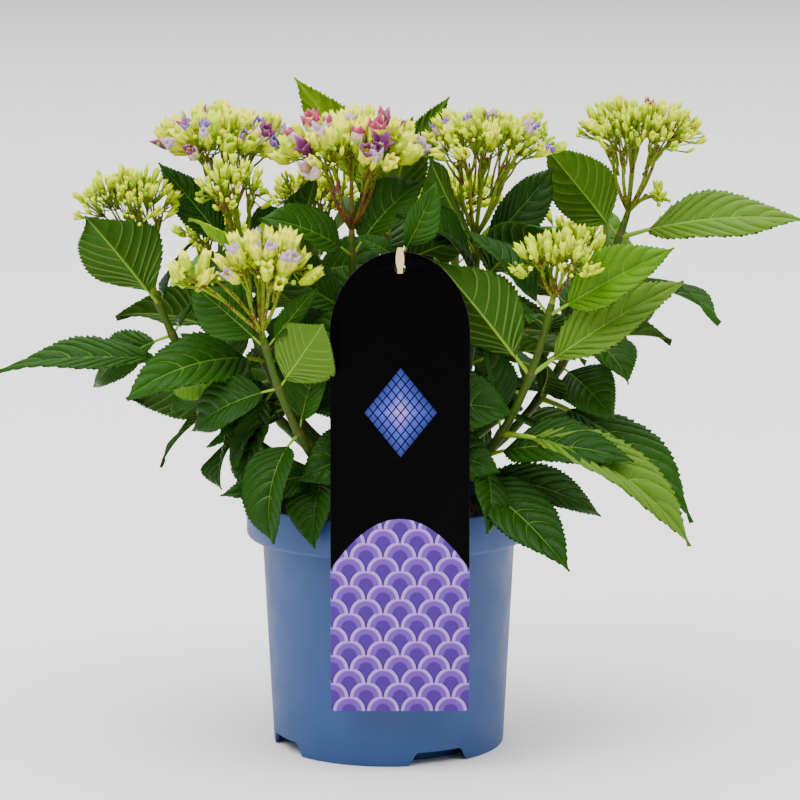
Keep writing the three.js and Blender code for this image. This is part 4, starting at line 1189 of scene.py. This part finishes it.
class HYDRANGEA_OT_pot(bpy.types.Operator):
    """Turns the nursery pot, with its stepped rim, foot notches and drain holes"""

    bl_idname = "hydrangea.pot"
    bl_label = "Nursery pot"

    def execute(self, context):
        looks = context.scene.hydrangea_pot
        foot, wall = looks.foot_radius, looks.wall
        rim, top = looks.rim_radius, looks.height
        step = top - looks.rim_depth
        # The flat middle of the underside and the raised ring round it, then the radii of the corners.
        stand, ring = 0.072, 0.011
        riser = stand + 0.003
        lip, inner_lip, shoulder, heel, inner_heel = 0.0011, 0.0007, 0.004, 0.0014, 0.0008
        notches, first_notch, drains, drain_radius = 4, 206, 8, 0.004
        profile = [(stand, 0.0), (riser, ring), (foot - wall, ring), (foot - wall, inner_heel),
                   (foot - wall + inner_heel, 0.0)]
        profile += rounded(foot - heel, heel, heel, -90, 0, 4)
        profile += [(looks.wall_top_radius, step - 0.0004)]
        profile += rounded(rim - shoulder, step + shoulder, shoulder, -90, 0, 7)
        profile += rounded(rim - lip, top - lip, lip, 0, 90, 4)
        profile += rounded(rim - wall + inner_lip, top - inner_lip, inner_lip, 90, 180, 3)
        profile += [(rim - wall, step + wall + 0.002), (rim - wall - 0.002, step + wall),
                    (looks.wall_top_radius - wall, step + wall), (foot - wall, ring + wall),
                    (riser - wall, ring + wall), (stand - wall, wall)]
        pot = turned_shell(profile, 120)
        for i in range(notches):
            self.cut_notch(pot, first_notch + 360 / notches * i, foot, wall, ring)
        reach = (riser + foot - wall) / 2
        for i in range(drains):
            start_fresh()
            bpy.ops.mesh.primitive_cylinder_add(vertices=24, radius=drain_radius, depth=0.012,
                                                location=compass(360 / drains * (i + 0.5), reach, ring))
            cut_away(pot, bpy.context.object)
        tint = opaque(looks.colour)
        finish_piece(pot, "pot_shell", [moulded_polypropylene("moulded_blue_polypropylene", tint)], 32)
        settle(pot, "pot", "pot")
        return {"FINISHED"}

    def cut_notch(self, pot, azimuth, foot, wall, ring):
        """One notch: a slot that widens towards the ground, with rounded upper corners."""
        start_fresh()
        width, splay, deep = 0.038, 0.007, 3 * wall + 0.012
        below, short = 0.001, 0.0005
        bpy.ops.mesh.primitive_cube_add(size=1, location=(0, 0, (ring - short - below) / 2))
        cutter = bpy.context.object
        cutter.scale = (deep, width, ring - short + below)
        bpy.ops.object.transform_apply(location=False, rotation=False, scale=True)
        bpy.ops.object.mode_set(mode="EDIT")
        choose(cutter, "FACE", lambda face: face.normal.z < -0.5)
        bpy.ops.transform.resize(value=(1, (width + 2 * splay) / width, 1), center_override=(0, 0, -below))
        bpy.ops.object.mode_set(mode="OBJECT")
        apply_modifier(cutter, "BEVEL", width=0.0022, segments=4, limit_method="ANGLE")
        cutter.rotation_euler = (0, 0, math.radians(azimuth))
        cutter.location = compass(azimuth, foot - wall - 0.009 + deep / 2, cutter.location.z)
        bpy.context.view_layer.update()
        cut_away(pot, cutter)


class HYDRANGEA_OT_potting_mix(bpy.types.Operator):
    """Fills the pot with crumbly potting mix"""

    bl_idname = "hydrangea.potting_mix"
    bl_label = "Potting mix"

    def execute(self, context):
        looks = context.scene.hydrangea_pot
        low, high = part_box("potting_soil")
        foot, reach = low.z, high.x
        top = looks.soil_level
        step = looks.height - looks.rim_depth + looks.wall
        rings, sunk, crumb_height, edge = 26, 0.0012, 0.0011, 0.001
        # The mix follows the inside of the pot, just short of it.
        profile = [(0.0686, foot), (0.0719, foot + 0.011), (0.0879, foot + 0.0112), (0.0964, step),
                   (reach - 0.0002, top - 0.0035)]
        for k in range(1, rings):
            profile.append(((reach - edge) * (1 - k / rings) + edge, top - sunk))
        mix = turned_shell(profile, 120)
        roll = dice(91)
        phase = [FULL_TURN * next(roll) for _ in range(4)]
        for vertex in mix.data.vertices:
            x, y, z = vertex.co
            if z > top - 0.0015:
                crumb = math.sin(x * 310 + phase[0]) * math.sin(y * 290 + phase[1])
                crumb += 0.6 * math.sin(x * 720 + y * 410 + phase[2])
                crumb += 0.5 * math.sin(y * 810 - x * 350 + phase[3])
                vertex.co.z = top - sunk + crumb_height * crumb
        finish_piece(mix, "potting_mix", [moist_peat("moist_peat")], 60)
        settle(mix, "potting_soil", "potting_soil")
        self.strew_bark(top, reach)
        return {"FINISHED"}

    def strew_bark(self, top, reach):
        """Bark crumbs and twiggy bits, half sunk in the mix."""
        heap = Heap([moist_peat("peat_crumbs"), flaking_bark("composted_bark")])
        peat, bark = heap.slots["peat_crumbs"], heap.slots["composted_bark"]
        roll = dice(57)
        for _ in range(420):
            turn = 360 * next(roll)
            away = (0.022 + (reach - 0.028) * math.sqrt(next(roll))) / MM
            centre = compass(turn, away, top / MM - 0.4 + 1.2 * next(roll))
            axis = unit(np.array([next(roll) - 0.5, next(roll) - 0.5, 0.5 * next(roll)]) + 1e-3)
            size = 1.0 + 2.2 * next(roll) ** 2
            flat = 0.45 + 0.4 * next(roll)
            add_ball(heap, centre, axis, size, peat if next(roll) < 0.6 else bark, (0.8, flat, 1.1))
        settle(heap.make("bark_crumbs", smooth=False), "potting_soil")


class HYDRANGEA_OT_crown(bpy.types.Operator):
    """Makes the woody crown that all shoots leave, with its flaking bark"""

    bl_idname = "hydrangea.crown"
    bl_label = "Woody crown"

    def execute(self, context):
        level = context.scene.hydrangea_pot.soil_level / MM + CLEARANCE
        sides, rows = 72, 34
        tall, waist, flare, bark_depth = 40, 17, 8, 0.8
        points = []
        for r in range(rows + 1):
            share = r / rows
            height = share * tall
            domed = math.sqrt(1 - (0.85 * share) ** 6)
            for k in range(sides):
                turn = FULL_TURN * k / sides
                knobs = 1 + 0.07 * math.cos(3 * turn + 0.6) + 0.05 * math.cos(5 * turn + share * 4)
                bark = (0.5 * abs(math.sin(11 * turn + 3 * math.sin(share * 7)))
                        + 0.35 * math.sin(23 * turn + share * 9) * math.sin(share * 21 + 3 * turn))
                spread = (waist + flare * math.exp(-height / 9)) * domed * knobs + bark * bark_depth - 0.5
                points.append((spread * math.cos(turn), -spread * math.sin(turn), level + height))
        points += [(0, 0, level), (0, 0, level + tall + 0.3)]
        heap = Heap([flaking_bark("flaking_crown_bark")])
        quads, caps = skin_faces(rows + 1, sides)
        heap.add(points, (quads, 0), (caps, 0))
        settle(heap.make("crown_bark"), "crown", "crown")
        return {"FINISHED"}


class HYDRANGEA_OT_stems(bpy.types.Operator):
    """Grows the shoots: tapering stems with swollen, scarred joints"""

    bl_idname = "hydrangea.stems"
    bl_label = "Shoots"

    def execute(self, context):
        looks = context.scene.hydrangea_plant
        ground = opaque(looks.stem)
        woody = mixed(ground, RIPE_WOOD, 0.45)
        heap = Heap([
            speckled_stem("green_stem_skin", ground, STEM_SPECK, 0.65),
            speckled_stem("ripening_stem_skin", woody, RIPE_SPECK, 0.57),
            plain_living_skin("leaf_scar", LEAF_SCAR, 0.7),
        ])
        for one in SHOOTS:
            self.grow(heap, one)
        settle(heap.make("stems"), "stem", *["bough_" + one["name"] for one in SHOOTS])
        return {"FINISHED"}

    def grow(self, heap, one):
        """One stem: it swells at each joint and bears a scar just above it."""
        sides, count = 14, 84
        swelling, swollen_for, scar_above, half_scar, ripe_until = 0.26, 0.022, 0.008, 0.003, 0.3
        green, ripe, scar = range(3)
        joints = [at for at, _ in one["pairs"]]
        shares = np.unique(np.concatenate([np.linspace(0, 1, count), *[
            np.array([at - 0.006, at + 0.004, at + 0.012]) for at in joints if at < 0.985]]))
        level = compass(one["azimuth"] - 90, 1, 0)
        skin = []
        for share in shares:
            centre, along = on_shoot(one, float(share))
            up = unit(np.cross(level, along))
            aside = np.cross(along, up)
            radius = STEM["root"] + (STEM["tip"] - STEM["root"]) * share
            for at in joints:
                radius *= 1 + swelling * math.exp(-((share - at) / swollen_for) ** 2)
            for k in range(sides):
                turn = FULL_TURN * k / sides
                ribbed = radius * (1 + 0.035 * math.cos(4 * turn + 2.0 * share))
                skin.append(centre + aside * ribbed * math.cos(turn) + up * ribbed * math.sin(turn))
        skin += [on_shoot(one, 0.0)[0], on_shoot(one, 1.0)[0]]
        finishes = []
        for mid in (shares[:-1] + shares[1:]) / 2:
            scarred = any(abs(mid - at - scar_above) < half_scar for at in joints)
            finishes += [scar if scarred else (ripe if mid < ripe_until else green)] * sides
        quads, caps = skin_faces(len(shares), sides, turned=True)
        heap.add(skin, (quads, finishes), (caps, green))


class HYDRANGEA_OT_foliage(bpy.types.Operator):
    """Grows every shoot's leaves, toothed and quilted between their veins"""

    bl_idname = "hydrangea.foliage"
    bl_label = "Foliage"

    def execute(self, context):
        looks = context.scene.hydrangea_plant
        roll = dice(looks.seed)
        veined = {}
        materials = []
        # The 'pale' shade's materials carry painted sheen: their upper side and underside are paler, and
        # their veins are mixed brighter.
        for shade in ("deep", "mid", "pale", "fresh", "young"):
            colour = opaque(getattr(looks, shade))
            vein = mixed(colour, opaque(looks.vein), {"deep": 0.28, "pale": 0.6}.get(shade, 0.45))
            under = mixed(colour, opaque(looks.under), 0.4)
            under_vein = mixed(under, opaque(looks.under_vein), 0.22)
            veined[shade] = len(materials)
            materials += [plain_living_skin(f"leaf_upper_{shade}", colour, 0.44, 0.0006, 0.0024, 0.17),
                          plain_living_skin(f"leaf_vein_{shade}", vein, 0.45),
                          plain_living_skin(f"leaf_underside_{shade}", under, 0.7, 0.0009, 0.0030, 0.12),
                          plain_living_skin(f"vein_underside_{shade}", under_vein, 0.6)]
        petiole = len(materials)
        materials.append(plain_living_skin("petiole_skin", opaque(looks.petiole), 0.45))
        for one in SHOOTS:
            heap = Heap(materials)
            for base, grown in grown_leaves(one):
                known = SHADES.get((one["name"], grown["at"]))
                chance = next(roll)
                shade = known[grown["number"]] if known else self.shade_of(grown, chance)
                upper = veined[shade]
                finishes = (upper, upper + 1, upper + 2, upper + 3, petiole)
                add_leaf(heap, base, grown, roll, finishes)
            if one["name"] == "label":
                press_behind_card(heap, context.scene.hydrangea_label.arch_height / MM)
            foliage = heap.make("foliage_" + one["name"])
            settle(foliage, "leaves", "leaves_" + one["name"])
        return {"FINISHED"}

    def shade_of(self, grown, chance):
        """Leaves are darkest low on their shoot; small ones at the tip are the freshest."""
        if grown["at"] > 0.92 and grown["length"] < 85:
            return "young" if chance < 0.35 else "fresh"
        age = grown["at"] + 0.35 * (chance - 0.5)
        return "deep" if age < 0.62 else ("mid" if age < 0.88 else "fresh")


class HYDRANGEA_OT_flowers(bpy.types.Operator):
    """Sets the flower heads on their shoots: forked rays, closed florets and round buds"""

    bl_idname = "hydrangea.flowers"
    bl_label = "Flower heads"

    def execute(self, context):
        looks = context.scene.hydrangea_flowers
        sepals = []
        for tint in ("lime", "cream", "pale", "lilac", "violet", "mauve", "magenta"):
            colour = opaque(getattr(looks, tint))
            sepals.append(plain_living_skin("sepal_" + tint, colour, 0.6, 0.0002, 0.0009, 0.1, 0.003))
        sepals.append(plain_living_skin("bud_green", opaque(looks.bud), 0.5, 0.0002, 0.0009, 0.15, 0.002))
        ray_skins = [speckled_stem("ray_green", opaque(looks.ray), RAY_SPECK, 0.60),
                     speckled_stem("ray_ruddy", RUDDY_RAY, RUDDY_SPECK, 0.5),
                     plain_living_skin("ray_node", RAY_NODE, 0.6)]
        roll = dice(19)
        for one in SHOOTS:
            if not one["heads"]:
                continue
            blossom, rays = Heap(sepals), Heap(ray_skins)
            tip, along = on_shoot(one, 1.0)
            for head in one["heads"]:
                Head(blossom, rays, tip, head, roll).grow(tip, along)
            settle(blossom.make("blossom_" + one["name"]), "flowers", "flowers_" + one["name"])
            settle(rays.make("rays_" + one["name"]), "flowers")
        return {"FINISHED"}


class HYDRANGEA_OT_label(bpy.types.Operator):
    """Cuts the arched label card and prints its generic pattern"""

    bl_idname = "hydrangea.label"
    bl_label = "Label card"

    def execute(self, context):
        looks = context.scene.hydrangea_label
        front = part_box("label_card")[0].y
        half = looks.width / 2
        shoulder = looks.top_height - looks.arch_height
        foot = looks.top_height - looks.height
        middle = (looks.centre_x, front, shoulder)
        start_fresh()
        bpy.ops.mesh.primitive_circle_add(vertices=128, radius=half, fill_type="NGON",
                                          rotation=(math.pi / 2, 0, 0), location=middle)
        card = bpy.context.object
        bpy.ops.object.transform_apply(location=True, rotation=True, scale=True)
        bpy.ops.object.mode_set(mode="EDIT")
        bpy.ops.mesh.select_all(action="SELECT")
        bpy.ops.transform.resize(value=(1, 1, looks.arch_height / half), center_override=middle)
        bpy.ops.mesh.bisect(plane_co=middle, plane_no=(0, 0, 1), use_fill=False, clear_inner=True,
                            clear_outer=False)
        choose(card, "EDGE", lambda edge: all(abs(v.co.z - shoulder) < 1e-5 for v in edge.verts))
        bpy.ops.mesh.extrude_region_move(TRANSFORM_OT_translate={"value": (0, 0, foot - shoulder)})
        choose(card, "VERT", lambda vertex: abs(vertex.co.z - foot) < 1e-5)
        bpy.ops.mesh.bevel(offset=looks.corner_radius, segments=6, affect="VERTICES")
        bpy.ops.mesh.select_all(action="SELECT")
        bpy.ops.mesh.extrude_region_move(TRANSFORM_OT_translate={"value": (0, looks.thickness, 0)})
        bpy.ops.mesh.select_all(action="SELECT")
        bpy.ops.mesh.normals_make_consistent(inside=False)
        bpy.ops.object.mode_set(mode="OBJECT")
        start_fresh()
        bpy.ops.mesh.primitive_cylinder_add(
            vertices=32, radius=looks.hole_radius, depth=0.01, rotation=(math.pi / 2, 0, 0),
            location=(looks.centre_x, front, looks.top_height - looks.hole_drop))
        cut_away(card, bpy.context.object)
        apply_modifier(card, "BEVEL", width=0.00022, segments=2, limit_method="ANGLE",
                       angle_limit=math.radians(60))
        finish_piece(card, "hang_label", [
            printed_card("printed_varnished_card", looks),
            moulded_polypropylene("card_cut_edge", opaque(looks.hem), 0.45)], 30)
        for face in card.data.polygons:
            face.material_index = 0 if abs(face.normal.y) > 0.9 else 1
        settle(card, "label_card", "label_card")
        return {"FINISHED"}


# The clip's tongue narrows into the card's hole and towards its top: heights, and shares of its width.
CLIP_WAIST = ((387, 389, 392, 396, 400, 404, 408), (1.0, 0.6, 0.62, 0.96, 1.0, 0.88, 0.56))


class HYDRANGEA_OT_clip(bpy.types.Operator):
    """Moulds the clip that hangs the label on the front shoot"""

    bl_idname = "hydrangea.clip"
    bl_label = "Label clip"

    def execute(self, context):
        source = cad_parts["label_clip"]
        clip = bpy.data.objects.new("label_clip_moulded", source.data.copy())
        context.scene.collection.objects.link(clip)
        only(clip)
        bpy.ops.object.mode_set(mode="EDIT")
        bpy.ops.mesh.select_all(action="SELECT")
        bpy.ops.mesh.remove_doubles(threshold=0.00001)
        bpy.ops.mesh.dissolve_limited(angle_limit=math.radians(2))
        for height in CLIP_WAIST[0]:
            bpy.ops.mesh.select_all(action="SELECT")
            bpy.ops.mesh.bisect(plane_co=(0, 0, height * MM), plane_no=(0, 0, 1))
        bpy.ops.object.mode_set(mode="OBJECT")
        middle = context.scene.hydrangea_label.centre_x
        for vertex in clip.data.vertices:
            share = float(np.interp(vertex.co.z / MM, *CLIP_WAIST))
            vertex.co.x = middle + (vertex.co.x - middle) * share
        apply_modifier(clip, "BEVEL", width=0.0007, segments=3, limit_method="ANGLE",
                       angle_limit=math.radians(40))
        finish_piece(clip, "label_clip_moulded", [
            moulded_polypropylene("moulded_cream_polypropylene", CLIP_CREAM, 0.42)])
        settle(clip, "label_clip", "label_clip")
        return {"FINISHED"}


class HYDRANGEA_OT_stage(bpy.types.Operator):
    """Sets the pale floor, the soft studio lights and the camera"""

    bl_idname = "hydrangea.stage"
    bl_label = "Stage, lights and camera"

    def execute(self, context):
        looks = context.scene.hydrangea_stage
        start_fresh()
        bpy.ops.mesh.primitive_grid_add(x_subdivisions=8, y_subdivisions=8, size=24, location=(0, 0, -0.0002))
        floor = finish_piece(bpy.context.object, "studio_floor", [
            painted_floor("matt_painted_floor", opaque(looks.floor_colour))])
        world = bpy.data.worlds.new("white_surroundings")
        world.use_nodes = True
        air = world.node_tree.nodes["Background"]
        air.inputs["Color"].default_value = (1.0, 1.0, 1.0, 1.0)
        air.inputs["Strength"].default_value = looks.air
        context.scene.world = world
        self.softbox("key_light", (-1.5, -1.7, 2.2), (0, 0, 0.25), 1.6, looks.key)
        self.softbox("fill_light", (2.2, -1.6, 1.2), (0, 0, 0.3), 1.8, looks.fill)
        self.softbox("ceiling_light", (0, 0.001, 7.5), (0, 0, 0), 15, looks.overhead)
        camera_data = bpy.data.cameras.new("studio_camera")
        camera = bpy.data.objects.new("studio_camera", camera_data)
        context.scene.collection.objects.link(camera)
        eye, target = Vector((0.009, -3.050, 0.778)), Vector((0.009, 0, 0.273))
        camera.location = eye
        camera.rotation_euler = (target - eye).to_track_quat("-Z", "Y").to_euler()
        camera_data.sensor_width = 36
        camera_data.lens = 176.96
        camera_data.clip_start, camera_data.clip_end = 0.05, 60
        context.scene.camera = camera
        return {"FINISHED"}

    def softbox(self, name, place, target, size, power):
        """A square soft light that faces its target."""
        lamp_data = bpy.data.lights.new(name, "AREA")
        lamp_data.shape = "SQUARE"
        lamp_data.size = size
        lamp_data.energy = power
        lamp = bpy.data.objects.new(name, lamp_data)
        bpy.context.scene.collection.objects.link(lamp)
        lamp.location = place
        lamp.rotation_euler = (Vector(target) - Vector(place)).to_track_quat("-Z", "Y").to_euler()


STEPS = (HYDRANGEA_OT_pot, HYDRANGEA_OT_potting_mix, HYDRANGEA_OT_crown, HYDRANGEA_OT_stems,
         HYDRANGEA_OT_foliage, HYDRANGEA_OT_flowers, HYDRANGEA_OT_label, HYDRANGEA_OT_clip,
         HYDRANGEA_OT_stage)
GROUPS = {"hydrangea_pot": PotLooks, "hydrangea_plant": PlantLooks, "hydrangea_flowers": FlowerLooks,
          "hydrangea_label": LabelLooks, "hydrangea_stage": StageLooks}


class HYDRANGEA_PT_panel(bpy.types.Panel):
    """Lists the steps that build the potted hydrangea"""

    bl_idname = "HYDRANGEA_PT_panel"
    bl_label = "Potted hydrangea"
    bl_space_type = "VIEW_3D"
    bl_region_type = "UI"
    bl_category = "Hydrangea"

    def draw(self, context):
        column = self.layout.column()
        for step in STEPS:
            column.operator(step.bl_idname)
        for name, group in GROUPS.items():
            box = self.layout.box()
            for prop in group.__annotations__:
                box.prop(getattr(context.scene, name), prop)


def register():
    """Adds the property groups, the steps and the panel."""
    for group in GROUPS.values():
        bpy.utils.register_class(group)
    for name, group in GROUPS.items():
        setattr(bpy.types.Scene, name, PointerProperty(type=group))
    for step in STEPS:
        bpy.utils.register_class(step)
    bpy.utils.register_class(HYDRANGEA_PT_panel)


def unregister():
    """Takes them away again."""
    bpy.utils.unregister_class(HYDRANGEA_PT_panel)
    for step in reversed(STEPS):
        bpy.utils.unregister_class(step)
    for name in GROUPS:
        delattr(bpy.types.Scene, name)
    for group in reversed(GROUPS.values()):
        bpy.utils.unregister_class(group)


def main():
    """Builds the plant piece by piece."""
    register()
    bpy.ops.hydrangea.pot()
    bpy.ops.hydrangea.potting_mix()
    bpy.ops.hydrangea.crown()
    bpy.ops.hydrangea.stems()
    bpy.ops.hydrangea.foliage()
    bpy.ops.hydrangea.flowers()
    bpy.ops.hydrangea.label()
    bpy.ops.hydrangea.clip()
    bpy.ops.hydrangea.stage()


if __name__ == "__main__":
    main()
